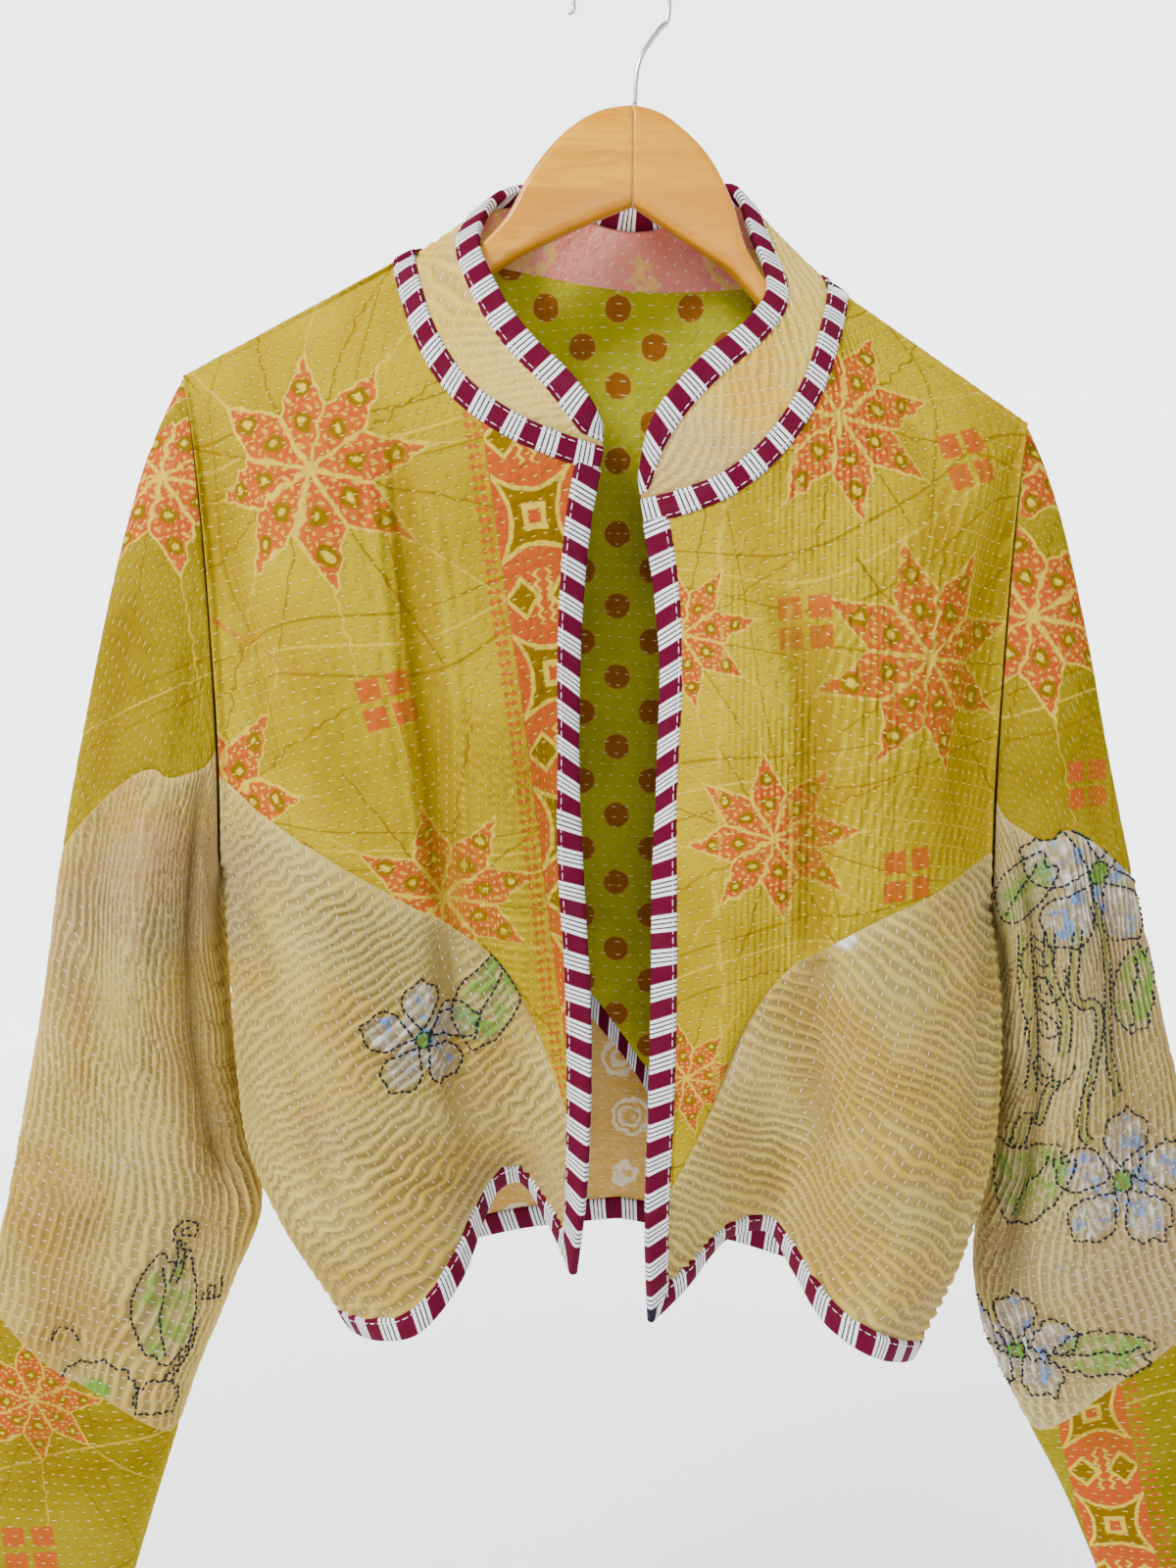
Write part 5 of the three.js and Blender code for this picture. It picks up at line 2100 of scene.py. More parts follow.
@dataclass(frozen=True)
class ThreadFinish:
    """Twisted cotton thread of one colour.

    Attributes:
        name: of the material.
        colour: of the thread.
    """

    name: str
    colour: Colour

    def material(self) -> bpy.types.Material:
        """Makes the material."""
        graph = Graph(self.name)
        place = graph.object_place()
        lighter = tuple(min(1.0, 0.012 + 1.3 * c) for c in self.colour)
        colour = graph.mix(graph.noise(place, 0.002, solid=True), self.colour, lighter)
        graph.shade(Base_Color=colour, Roughness=0.85, Specular_IOR_Level=0.1)
        graph.bump(graph.noise(place, 0.0004, solid=True), 0.1 * MM)
        return graph.material


@dataclass(frozen=True)
class WoodFinish:
    """Varnished pale wood with the grain along the arms.

    Attributes:
        name: of the material.
        light: colour of the early wood.
        dark: colour of the grain lines.
        rosy: pinkish tint laid on the left arm, a painted highlight.
    """

    name: str = "varnished wood"
    light: Colour = (0.74, 0.33, 0.003)
    dark: Colour = (0.46, 0.14, 0.002)
    rosy: Colour = (0.66, 0.26, 0.01)

    def material(self) -> bpy.types.Material:
        """Makes the material."""
        graph = Graph(self.name)
        x, z, highlit_arm = graph.attribute("wood_place")
        depth = graph.split(graph.object_place())[1]
        stretched = graph.vector(x * 0.09, depth, z)
        broad = graph.noise(stretched, 0.011, 2.0, solid=True)
        fine = graph.noise(stretched, 0.0016, solid=True)
        colour = graph.paint(self.light, self.dark, graph.below(broad, 0.5, 0.12), 0.55)
        colour = graph.paint(colour, self.dark, graph.below(fine, 0.46, 0.08), 0.35)
        # Painted highlight: the left arm takes a pinkish tint for the sheen on it.
        colour = graph.paint(colour, self.rosy, graph.above(highlit_arm, 0.5, 0.3), 0.4)
        graph.shade(
            Base_Color=colour, Roughness=fine * 0.14 + 0.24, Specular_IOR_Level=0.25,
            Coat_Weight=0.1, Coat_Roughness=0.12,
        )
        graph.bump(fine, 0.1 * MM)
        return graph.material


@dataclass(frozen=True)
class SteelFinish:
    """Drawn steel wire with fine scratches.

    Attributes:
        name: of the material.
        colour: of the metal.
    """

    name: str = "steel wire"
    colour: Colour = (0.62, 0.63, 0.66)

    def material(self) -> bpy.types.Material:
        """Makes the material."""
        graph = Graph(self.name)
        scratch = graph.noise(graph.object_place(), 0.0012, solid=True)
        darker = tuple(0.7 * c for c in self.colour)
        colour = graph.mix(scratch, self.colour, darker)
        graph.shade(Base_Color=colour, Metallic=1.0, Roughness=scratch * 0.16 + 0.14)
        graph.bump(scratch, 0.03 * MM)
        return graph.material


class Finish(Enum):
    """Every finish of the jacket and its hanger; the value makes the material."""

    PRINT_RIGHT = PrintedFinish(
        "ochre print with border", (0.37, 0.25, 0.003), (0.42, 0.32, 0.005), (0.26, 0.18, 0.002),
        thread=(0.80, 0.68, 0.17), stagger=True, row_pitch=5.2 * MM, trough=(0.20, 0.115, 0.004),
        strip=Strip((-0.0702, -0.2149), 7.3),
    )
    PRINT_LEFT = PrintedFinish(
        "ochre print", (0.39, 0.265, 0.003), (0.45, 0.34, 0.006), (0.28, 0.195, 0.002),
        thread=(0.82, 0.70, 0.19), stagger=True, row_pitch=5.2 * MM, trough=(0.20, 0.115, 0.004),
        streaks=(0.047, 0.079), cords=(2.9 * MM, 0.048, 0.125),
    )
    # Painted shade: the fronts' ochre print made darker for the sleeves, which lie in dimmer light; the
    # back's upper cloth shares it.
    PRINT_SLEEVE = PrintedFinish(
        "ochre sleeve print", (0.25, 0.175, 0.003), (0.31, 0.235, 0.005), (0.17, 0.12, 0.002),
        thread=(0.80, 0.67, 0.24), stagger=True, row_pitch=5.2 * MM, trough=(0.18, 0.10, 0.004),
    )
    # Painted shade: the same ochre print, darker still for the left sleeve's end.
    PRINT_CUFF = PrintedFinish(
        "ochre cuff print", (0.21, 0.165, 0.003), (0.26, 0.21, 0.008), (0.15, 0.115, 0.002),
        thread=(0.80, 0.67, 0.24), stagger=True, row_pitch=5.2 * MM, trough=(0.18, 0.10, 0.004),
        strip=Strip((0.2668, -0.6687), 15.2, way=-1, width=44.0),
    )
    BEIGE_FRONT = BeigeFinish(
        "beige quilt", (0.48, 0.345, 0.075), (0.58, 0.45, 0.13), (0.40, 0.25, 0.03),
        dabs=((0.104, -0.437, 0.005, (0.86, 0.84, 0.78)),),
    )
    BEIGE_SLEEVE = BeigeFinish(
        "grey beige quilt", (0.49, 0.345, 0.08), (0.57, 0.43, 0.13), (0.42, 0.245, 0.03),
        soil=0.65,
        dabs=((-0.272, -0.693, 0.007, (0.08, 0.36, 0.02)),),
    )
    BEIGE_GARDEN = BeigeFinish(
        "painted grey quilt", (0.43, 0.335, 0.11), (0.52, 0.43, 0.19), (0.35, 0.25, 0.06), soil=0.65,
    )
    BEIGE_COLLAR = BeigeFinish(
        "beige collar quilt", (0.66, 0.455, 0.070), (0.74, 0.56, 0.14), (0.62, 0.33, 0.025),
        thread=(0.95, 0.92, 0.84), soil=0.35,
        dabs=((0.383, 0.030, 0.0035, (0.70, 0.26, 0.004)), (0.066, 0.026, 0.002, (0.66, 0.27, 0.01))),
    )
    DOTTED = DottedFinish(
        "olive dotted lining", (0.34, 0.32, 0.010), (0.40, 0.38, 0.018), (0.24, 0.22, 0.006),
        thread=(0.78, 0.72, 0.34), soil=0.0,
    )
    SCROLL = ScrollFinish(
        "faded orange lining", (0.58, 0.34, 0.08), (0.66, 0.45, 0.15), (0.48, 0.25, 0.04), soil=0.0,
    )
    PINK = ScrollFinish(
        "pink collar lining", (0.70, 0.235, 0.19), (0.76, 0.33, 0.26), (0.60, 0.18, 0.13),
        scroll=(0.72, 0.48, 0.12), spacing=0.052, thread=(0.92, 0.84, 0.76), soil=0.0,
    )
    PLAIN = ClothFinish(
        "plain lining", (0.50, 0.35, 0.14), (0.58, 0.44, 0.21), (0.40, 0.26, 0.08), soil=0.0,
    )
    TAPE = StripedFinish()
    NAVY = ThreadFinish("navy thread", (0.006, 0.010, 0.022))
    WHITE = ThreadFinish("white thread", (0.78, 0.76, 0.74))
    WOOD = WoodFinish()
    STEEL = SteelFinish()


class Materials:
    """Makes each finish once."""

    def __init__(self) -> None:
        """Starts with none."""
        self.made: dict[Finish, bpy.types.Material] = {}

    def __getitem__(self, finish: Finish) -> bpy.types.Material:
        """The finish's material.

        Args:
            finish: which one.

        Returns:
            The material.
        """
        if finish not in self.made:
            self.made[finish] = finish.value.material()
        return self.made[finish]


class Slot(Enum):
    """Material slots of the record."""

    PRINT = "printed_cloth"
    BEIGE = "beige_cloth"
    TAPE = "striped_binding"
    WOOD = "wood"
    STEEL = "steel_wire"


def attach(piece: bpy.types.Object, slot: Slot, *nodes: str) -> bpy.types.Object:
    """Rides a piece on the body, in the place of its CAD nodes.

    Args:
        piece: the new object.
        slot: the record's material slot; not used.
        nodes: CAD nodes that it stands for.

    Returns:
        The same object.
    """
    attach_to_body(piece, "root")
    if nodes:
        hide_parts(*nodes)
    LOG.info("%s: %d faces", piece.name, len(piece.data.polygons))
    return piece


def place(cloth: Cloth, outer: Finish, lining: Finish, slot: Slot, materials: Materials) -> None:
    """Args:
        cloth: what to build.
        outer: finish of the outside.
        lining: finish of the inside.
        slot: the record's material slot.
        materials: the finishes made so far.
    """
    piece, inside = cloth.build(materials[outer], materials[lining])
    attach(piece, slot, cloth.name)
    attach(inside, slot, cloth.name)
    width, length = cloth.flat
    length = max(length, 1.02 * cloth.area / width)
    LOG.info("%s: cut %.3f x %.3f m, %.4f m2", cloth.name, width, length, cloth.area)


@dataclass
class Front:
    """One front: printed cloth above a slanted seam and beige cloth below it.

    Attributes:
        side: the wearer's side.
        threads: embroidery thread to sew with.
    """

    side: Side
    threads: Threads
    upper: Cloth = field(init=False)
    lower: Cloth = field(init=False)
    form: Form = field(init=False)
    RIGHT_FOLD = ((0.587, 0.099), (0.446, 0.189), (0.362, 0.301), (0.352, 0.459), (0.345, 0.62), (0.30, 0.95))
    LEFT_FOLD = ((0.30, 0.10), (0.37, 0.33), (0.413, 0.541), (0.40, 0.93))

    def __post_init__(self) -> None:
        """Lays out both cloths."""
        sizes = SIZES[self.side]
        right = self.side is Side.RIGHT
        self.form = Form(BodyHalf(self.side, 1), (0, 1, 0, 1), -self.side.value)
        seam = Lookup(sizes.front_seam)
        creases = self.creases()
        self.upper = Cloth(
            name=f"front_{self.side.word}_upper",
            form=self.form,
            span=(0.0, 1.0),
            start=np.zeros_like,
            end=seam,
            steps=(170, 270),
            quilting=Quilting(17.0, 5.2 * MM, 5.8 * MM, 0.55 * MM, stagger=True, seed=11),
            creases=creases,
            stars=self.stars(),
            windows=self.windows(),
            patch=self.patch(),
            patch_part=self.patch_part,
        )
        self.lower = Cloth(
            name=f"front_{self.side.word}_lower",
            form=self.form,
            span=(0.0, 1.0),
            start=seam,
            end=np.ones_like,
            steps=(170, 210),
            quilting=Quilting(
                105.0 if right else 78.0, 5.8 * MM, 5.5 * MM, 1.9 * MM,
                wander=0.8, slant=-0.36 if right else 0.36, seed=21 if right else 25,
            ),
            creases=creases,
            blooms=(Motif((0.427, 0.716), 0.029, 15),) if right else (),
            leaves=(Motif((0.255, 0.685), 0.027, 62),) if right else (),
        )

    def patch(self) -> Quilting:
        """Stitching between the fold and the front edge, or towards the armhole on the left."""
        if self.side is Side.RIGHT:
            return Quilting(90.0, 3.6 * MM, 4.6 * MM, 0.85 * MM, wander=0.7, seed=61)
        return Quilting(-14.0, 5.4 * MM, 5.2 * MM, 0.8 * MM, wander=0.7, seed=63)

    def patch_part(self, u: Array, v: Array) -> Array:
        """How far each place belongs to that patch.

        Args:
            u: parameters across.
            v: parameters down.

        Returns:
            1 inside the patch and 0 outside, softly.
        """
        if self.side is Side.RIGHT:
            fold = np.interp(v, [v for _, v in self.RIGHT_FOLD], [u for u, _ in self.RIGHT_FOLD])
            return np.clip((fold - u) / 0.03 + 0.5, 0, 1) * np.clip((v - 0.36) / 0.03, 0, 1)
        return np.clip((u - 0.36) / 0.03, 0, 1) * np.clip((v - 0.22) / 0.04, 0, 1)

    def stars(self) -> tuple[Motif, ...]:
        """Printed stars of the upper cloth."""
        if self.side is Side.RIGHT:
            return (
                Motif((0.64, 0.232), 0.052, 12), Motif((0.995, 0.497), 0.055, 10),
                Motif((0.341, 0.548), 0.043, 14),
            )
        return (
            Motif((0.675, 0.070), 0.045, 10), Motif((0.700, 0.393), 0.052, 16),
            Motif((0.309, 0.438), 0.038, 8), Motif((0.066, 0.170), 0.033, 12),
            Motif((0.086, 0.705), 0.027, 10),
        )

    def windows(self) -> tuple[Motif, ...]:
        """Printed squares of the upper cloth."""
        if self.side is Side.RIGHT:
            return (Motif((0.462, 0.406), 0.0125, 14),)
        return (
            Motif((0.361, 0.238), 0.0125, 4), Motif((0.82, 0.237), 0.013, 12),
            Motif((0.66, 0.488), 0.0125, 4),
        )

    def creases(self) -> tuple[Crease, ...]:
        """Folds that run down the front."""
        if self.side is Side.RIGHT:
            beside = (
                (-0.085, 0.9), (-0.045, 1.5), (-0.018, 1.2), (0.022, 1.6), (0.05, 1.2), (0.09, 0.8),
            )
            fine = tuple(
                Crease(
                    tuple((u + across * (1.4 - v), v) for u, v in self.RIGHT_FOLD[:5]),
                    1.7 * MM,
                    -depth * MM,
                )
                for across, depth in beside
            )
            return (
                Crease(self.RIGHT_FOLD, 0.0075, -0.0085),
                Crease(((0.70, 0.12), (0.66, 0.35), (0.62, 0.6), (0.60, 0.92)), 0.022, 0.005),
                Crease(((0.20, 0.2), (0.19, 0.5), (0.16, 0.8)), 0.016, 0.004),
                Crease(((0.98, 0.56), (0.86, 0.64), (0.72, 0.78), (0.62, 0.93)), 0.013, -0.004),
                Crease(((0.98, 0.30), (0.88, 0.42), (0.74, 0.50)), 0.012, -0.003),
                Crease(((0.90, 0.62), (0.80, 0.72), (0.74, 0.84)), 0.010, 0.003),
                *fine,
            )
        fine = tuple(
            Crease(tuple((u + across, v) for u, v in self.LEFT_FOLD[:3]), 1.9 * MM, -depth * MM)
            for across, depth in ((-0.07, 0.7), (0.06, 0.9), (0.12, 0.8), (0.19, 1.0), (0.27, 0.7))
        )
        return (
            Crease(self.LEFT_FOLD, 0.010, -0.0075),
            Crease(((0.52, 0.30), (0.56, 0.6), (0.55, 0.93)), 0.022, 0.005),
            Crease(((0.18, 0.1), (0.20, 0.4), (0.20, 0.85)), 0.015, 0.004),
            Crease(((0.98, 0.58), (0.86, 0.70), (0.78, 0.92)), 0.013, -0.004),
            Crease(((0.96, 0.28), (0.90, 0.40), (0.80, 0.50)), 0.012, -0.003),
            Crease(((0.80, 0.12), (0.72, 0.24), (0.62, 0.33)), 0.009, -0.0022),
            *fine,
        )

    def build(self, materials: Materials) -> None:
        """Makes both cloths and the embroidery on the right one.

        Args:
            materials: the finishes made so far.
        """
        printed = Finish.PRINT_RIGHT if self.side is Side.RIGHT else Finish.PRINT_LEFT
        place(self.upper, printed, Finish.PLAIN, Slot.PRINT, materials)
        place(self.lower, Finish.BEIGE_FRONT, Finish.PLAIN, Slot.BEIGE, materials)
        if self.side is Side.RIGHT:
            needle = Embroidery(self.lower, self.threads)
            needle.flower((0.427, 0.716), 0.029, 15)
            needle.leaf((0.255, 0.685), 0.030, 62)
            needle.stem((0.415, 0.72), (0.33, 0.70), 0.003)


@dataclass
class Embroidery:
    """Outlines sewn on one cloth in running stitch.

    Attributes:
        cloth: what is sewn on.
        threads: the thread that it is sewn with.
    """

    cloth: Cloth
    threads: Threads
    LIFT = 0.25 * MM

    def centre(self, place: tuple[float, float]) -> Array:
        """Pattern x and z of a place on the cloth."""
        return self.cloth.form.unrolled(np.array(place[0]), np.array(place[1]))[:2]

    def sew(self, line: Array) -> None:
        """Sews along a line of pattern places.

        Args:
            line: rows of pattern x and z.
        """
        smooth = Curve(line, 1.0)(np.linspace(0, 1, 6 * len(line)))
        points, normals = self.cloth.on_cloth(smooth, self.LIFT)
        self.threads.sew(points, normals)

    def drawn(
        self, place: tuple[float, float], size: float, turn: float, line: Sequence[tuple[float, float]]
    ) -> None:
        """Sews a line given in the motif's own frame and size.

        Args:
            place: parameters of the motif's centre.
            size: its radius, in metres.
            turn: in degrees.
            line: points in motif sizes.
        """
        c, s = math.cos(math.radians(turn)), math.sin(math.radians(turn))
        local = np.array(line, float) * size
        turned = np.stack([local[:, 0] * c - local[:, 1] * s, local[:, 0] * s + local[:, 1] * c], -1)
        self.sew(turned + self.centre(place))

    def flower(self, place: tuple[float, float], size: float, turn: float, petals: int = 5) -> None:
        """Sews round petals about a small eye.

        Args:
            place: parameters of the motif's centre.
            size: its radius, in metres.
            turn: in degrees.
            petals: how many.
        """
        for number in range(petals):
            at = turn + 360 * number / petals
            petal = (
                (0.16, 0.0), (0.36, 0.17), (0.62, 0.33), (0.86, 0.27), (0.95, 0.1), (1.04, 0.0),
                (0.94, -0.12), (0.84, -0.29), (0.60, -0.33), (0.36, -0.16), (0.16, 0.0),
            )
            self.drawn(place, size, at, petal)
        eye = [(0.14 * math.cos(a), 0.14 * math.sin(a)) for a in np.linspace(0, 2 * math.pi, 9)]
        self.drawn(place, size, 0, eye)

    def leaf(self, place: tuple[float, float], size: float, turn: float) -> None:
        """Sews a pointed leaf with a curl at its tip.

        Args:
            place: parameters of the motif's centre.
            size: its radius, in metres.
            turn: in degrees.
        """
        self.drawn(place, size, turn, (
            (-1.0, -0.1), (-0.6, 0.34), (0.0, 0.5), (0.55, 0.36), (0.95, 0.1), (0.7, -0.1),
            (0.86, -0.28), (0.5, -0.42), (-0.1, -0.46), (-0.65, -0.36), (-1.0, -0.1),
        ))
        self.drawn(place, size, turn, ((-0.8, -0.06), (-0.2, 0.06), (0.35, 0.02), (0.7, 0.1)))

    def stem(self, first: tuple[float, float], last: tuple[float, float], sway: float) -> None:
        """Sews a bowed line between two places.

        Args:
            first: parameters of its start.
            last: parameters of its end.
            sway: how far it bows, in metres.
        """
        a, b = self.centre(first), self.centre(last)
        side = np.array([a[1] - b[1], b[0] - a[0]])
        side *= sway / np.linalg.norm(side)
        self.sew(np.array([a, lerp(a, b, 0.33) + side, lerp(a, b, 0.67) + side, b]))

    def edges(self, vine: Vine) -> None:
        """Sews both sides of a painted stem.

        Args:
            vine: the stem.
        """
        line = vine.line(self.cloth.form)
        way = np.gradient(line, axis=0)
        way /= np.linalg.norm(way, axis=1, keepdims=True)
        over = np.stack([-way[:, 1], way[:, 0]], -1) * vine.half
        for side in (-1, 1):
            self.sew((line + side * over)[::4])

    def scroll(self, place: tuple[float, float], size: float, turn: float) -> None:
        """Sews a tendril that rolls up at its end.

        Args:
            place: parameters of the motif's centre.
            size: its radius, in metres.
            turn: in degrees.
        """
        line = [(-1.2, -0.9), (-1.1, -0.2), (-0.7, 0.5), (0.0, 0.85)]
        line += [
            (0.75 * r * math.cos(a), 0.75 * r * math.sin(a))
            for a, r in zip(np.linspace(1.2, -7.5, 16), np.linspace(1.0, 0.16, 16))
        ]
        self.drawn(place, size, turn, line)


@dataclass
class Back:
    """The back: plain printed cloth above a V seam and beige cloth below it, both lined."""

    upper: Cloth = field(init=False)
    lower: Cloth = field(init=False)
    form: Form = field(init=False)

    def __post_init__(self) -> None:
        """Lays out both cloths."""
        self.form = Form(BackForm(), (-1, 1, 0, 1), 1)
        seam = Lookup(BACK_SEAM)
        creases = (
            Crease(((-0.55, 0.12), (-0.5, 0.45), (-0.56, 0.9)), 0.03, 0.004),
            Crease(((0.5, 0.12), (0.55, 0.5), (0.5, 0.9)), 0.03, 0.004),
            Crease(((0.05, 0.2), (0.0, 0.5), (0.04, 0.95)), 0.03, -0.003),
        )
        self.upper = Cloth(
            name="back_upper",
            form=self.form,
            span=(-1.0, 1.0),
            start=np.zeros_like,
            end=seam,
            steps=(250, 170),
            lining_steps=(170, 120),
            quilting=Quilting(2.0, 5.8 * MM, 6.2 * MM, 0.75 * MM, seed=31),
            creases=creases,
            stars=(
                Motif((-0.45, 0.25), 0.052, 12), Motif((0.5, 0.22), 0.05, 8),
                Motif((0.02, 0.48), 0.052, 14), Motif((-0.75, 0.42), 0.045, 4),
                Motif((0.72, 0.45), 0.045, 10),
            ),
            windows=(Motif((-0.2, 0.3), 0.012, 10), Motif((0.25, 0.36), 0.012, 8)),
        )
        self.lower = Cloth(
            name="back_lower",
            form=self.form,
            span=(-1.0, 1.0),
            start=seam,
            end=np.ones_like,
            steps=(300, 80),
            lining_steps=(170, 70),
            quilting=Quilting(-1.0, 5.8 * MM, 6.0 * MM, 1.0 * MM, wander=0.4, seed=35),
            creases=creases,
        )

    def build(self, materials: Materials) -> None:
        """Makes both cloths."""
        place(self.upper, Finish.PRINT_SLEEVE, Finish.DOTTED, Slot.PRINT, materials)
        place(self.lower, Finish.BEIGE_FRONT, Finish.SCROLL, Slot.BEIGE, materials)


@dataclass
class Sleeve:
    """One sleeve: a printed cap, a beige middle and a printed end.

    Attributes:
        side: the wearer's side.
        threads: embroidery thread to sew with.
    """

    side: Side
    threads: Threads
    upper: Cloth = field(init=False)
    middle: Cloth = field(init=False)
    lower: Cloth = field(init=False)
    form: Form = field(init=False)
    FRONT = 0.5

    def cap_seam(self, angle: Array) -> Array:
        """Row of the seam below the cap.

        Args:
            angle: half turns from the outer edge.

        Returns:
            The rows.
        """
        sizes = SIZES[self.side]
        wrapped = np.abs(np.where(angle > 1, angle - 2, angle))
        away = np.minimum(1, wrapped / sizes.cap_end)
        return sizes.cap_length * np.maximum(0, 1 - away**2) ** 0.58

    def lower_seam(self, angle: Array) -> Array:
        """Row of the seam above the sleeve's end."""
        sizes = SIZES[self.side]
        return lerp(sizes.outer_seam, sizes.inner_seam, (1 - np.cos(angle * math.pi)) / 2)

    def cuff(self, angle: Array) -> Array:
        """Row of the sleeve's end."""
        return np.full_like(angle, SleeveForm.LAST)

    def __post_init__(self) -> None:
        """Lays out the three cloths."""
        sizes = SIZES[self.side]
        right = self.side is Side.RIGHT
        surface = SleeveForm(self.side)
        box = (-1.0, 1.5, 0, SleeveForm.LAST)
        self.form = Form(surface, box, self.side.value, self.FRONT, tube=True)
        ripples = Quilting(
            -5.0 if right else 4.0, 6.0 * MM, 5.3 * MM, 2.1 * MM,
            wander=0.9, slant=-0.1, seed=41 if right else 47,
        )
        creases = self.creases()
        self.upper = Cloth(
            name=f"sleeve_{self.side.word}_upper",
            form=self.form,
            span=(-sizes.cap_end, sizes.cap_end),
            start=np.zeros_like,
            end=self.cap_seam,
            steps=(220, 130),
            quilting=Quilting(78.0, 5.2 * MM, 7.4 * MM, 0.6 * MM, stagger=True, seed=43),
            creases=creases,
            stars=self.stars(),
            windows=() if right else (Motif((0.344, 3.653), 0.012, 4),),
        )
        self.middle = Cloth(
            name=f"sleeve_{self.side.word}_middle",
            form=self.form,
            span=(-0.5, 1.5),
            start=self.cap_seam,
            end=self.lower_seam,
            steps=(330, 120),
            quilting=ripples,
            creases=creases,
            blooms=self.blooms(),
            leaves=self.leaves(),
            vines=self.vines(),
        )
        self.lower = Cloth(
            name=f"sleeve_{self.side.word}_lower",
            form=self.form,
            span=(-0.5, 1.5),
            start=self.lower_seam,
            end=self.cuff,
            steps=(240, 75),
            lining_steps=(60, 30),
            quilting=Quilting(8.0, 5.2 * MM, 6.4 * MM, 0.7 * MM, stagger=True, seed=45),
            creases=creases,
            stars=(Motif((0.435, 9.289), 0.036, 2),) if right else (),
            windows=(Motif((0.506, 10.371), 0.0145, 2),) if right else (),
        )

    def stars(self) -> tuple[Motif, ...]:
        """Printed stars of the cap."""
        if self.side is Side.RIGHT:
            return (Motif((0.225, 1.2), 0.044, 6), Motif((-0.25, 2.2), 0.048, 12))
        return (Motif((0.40, 1.1), 0.046, 14), Motif((-0.2, 1.9), 0.048, 12))

    def blooms(self) -> tuple[Motif, ...]:
        """Painted flowers of the middle."""
        if self.side is Side.RIGHT:
            return ()
        return (
            Motif((0.370, 4.402), 0.041, 20), Motif((0.443, 7.106), 0.038, 18),
            Motif((0.804, 8.21), 0.033, 25),
        )

    def leaves(self) -> tuple[Motif, ...]:
        """Painted leaves of the middle."""
        if self.side is Side.RIGHT:
            return (Motif((0.667, 8.20), 0.031, 82),)
        return (
            Motif((0.711, 6.40), 0.027, 60), Motif((0.285, 5.84), 0.022, 85),
            Motif((0.551, 8.50), 0.025, 8), Motif((0.66, 2.3), 0.020, 60),
        )

    def vines(self) -> tuple[Vine, ...]:
        """Painted stems of the middle: wavy lines between the flowers."""
        if self.side is Side.RIGHT:
            return (Vine(wavy((0.645, 7.50), (0.665, 7.95), (0.012, 0.0), 0.5), 1.9 * MM),)
        return (
            Vine(wavy((0.495, 4.25), (0.500, 6.55), (0.030, 0.0), 1.5), 2.3 * MM),
            Vine(wavy((0.425, 4.45), (0.420, 6.45), (-0.024, 0.0), 1.0), 2.3 * MM),
            Vine(wavy((0.575, 3.60), (0.585, 5.05), (0.020, 0.0), 1.0), 2.2 * MM),
            Vine(wavy((0.730, 2.60), (0.795, 4.90), (0.024, 0.0), 1.0), 2.2 * MM),
            Vine(wavy((0.930, 5.35), (0.590, 5.45), (0.0, 0.16), 2.0), 1.9 * MM),
        )

    def creases(self) -> tuple[Crease, ...]:
        """Folds that run down the sleeve."""
        if self.side is Side.RIGHT:
            return (
                Crease(((0.62, 0.6), (0.68, 2.5), (0.74, 4.8), (0.80, 6.8)), 0.016, -0.009),
                Crease(((0.45, 0.8), (0.50, 3.0), (0.52, 5.5), (0.50, 7.6)), 0.022, 0.005),
                Crease(((0.25, 2.0), (0.32, 4.4), (0.36, 6.6)), 0.020, -0.004),
                Crease(((0.85, 5.6), (0.70, 7.2), (0.62, 8.8)), 0.016, -0.005),
                Crease(((0.30, 7.0), (0.45, 8.4), (0.50, 10.2)), 0.018, -0.003),
            )
        return (
            Crease(((0.66, 1.0), (0.70, 3.2), (0.76, 5.6), (0.78, 7.6)), 0.015, -0.008),
            Crease(((0.45, 1.6), (0.52, 4.2), (0.54, 6.8)), 0.020, 0.004),
            Crease(((0.30, 3.0), (0.36, 5.2), (0.42, 7.6)), 0.018, -0.004),
            Crease(((0.80, 6.4), (0.68, 8.0), (0.60, 9.8)), 0.015, -0.004),
        )

    def build(self, materials: Materials) -> None:
        """Makes the three cloths and the embroidery of the middle.

        Args:
            materials: the finishes made so far.
        """
        right = self.side is Side.RIGHT
        middle = Finish.BEIGE_SLEEVE if right else Finish.BEIGE_GARDEN
        end = Finish.PRINT_SLEEVE if right else Finish.PRINT_CUFF
        place(self.upper, Finish.PRINT_SLEEVE, Finish.PLAIN, Slot.PRINT, materials)
        place(self.middle, middle, Finish.PLAIN, Slot.BEIGE, materials)
        place(self.lower, end, Finish.PLAIN, Slot.PRINT, materials)
        needle = Embroidery(self.middle, self.threads)
        if self.side is Side.RIGHT:
            self.lone_leaf(needle)
        else:
            self.garden(needle)

    def lone_leaf(self, needle: Embroidery) -> None:
        """Sews one leaf with its curl, and the domes at the seam.

        Args:
            needle: sews on the middle cloth.
        """
        for leaf in self.leaves():
            needle.leaf(leaf.place, leaf.size * 1.12, leaf.turn)
        needle.scroll((0.655, 7.36), 0.0085, 60)
        for vine in self.vines():
            needle.edges(vine)
        needle.scroll((0.835, 7.98), 0.0065, 200)
        needle.stem((0.81, 8.35), (0.74, 8.95), 0.003)
        needle.stem((0.83, 8.35), (0.77, 8.95), 0.003)
        dome = [(math.cos(a), math.sin(a)) for a in np.linspace(-0.25, math.pi + 0.1, 11)]
        needle.drawn((0.556, 9.12), 0.021, -8, dome)
        needle.drawn((0.47, 8.72), 0.007, 6, dome)
        ring = [(math.cos(a), math.sin(a)) for a in np.linspace(0, 2 * math.pi, 13)]
        needle.drawn((0.755, 9.10), 0.0115, 0, ring)

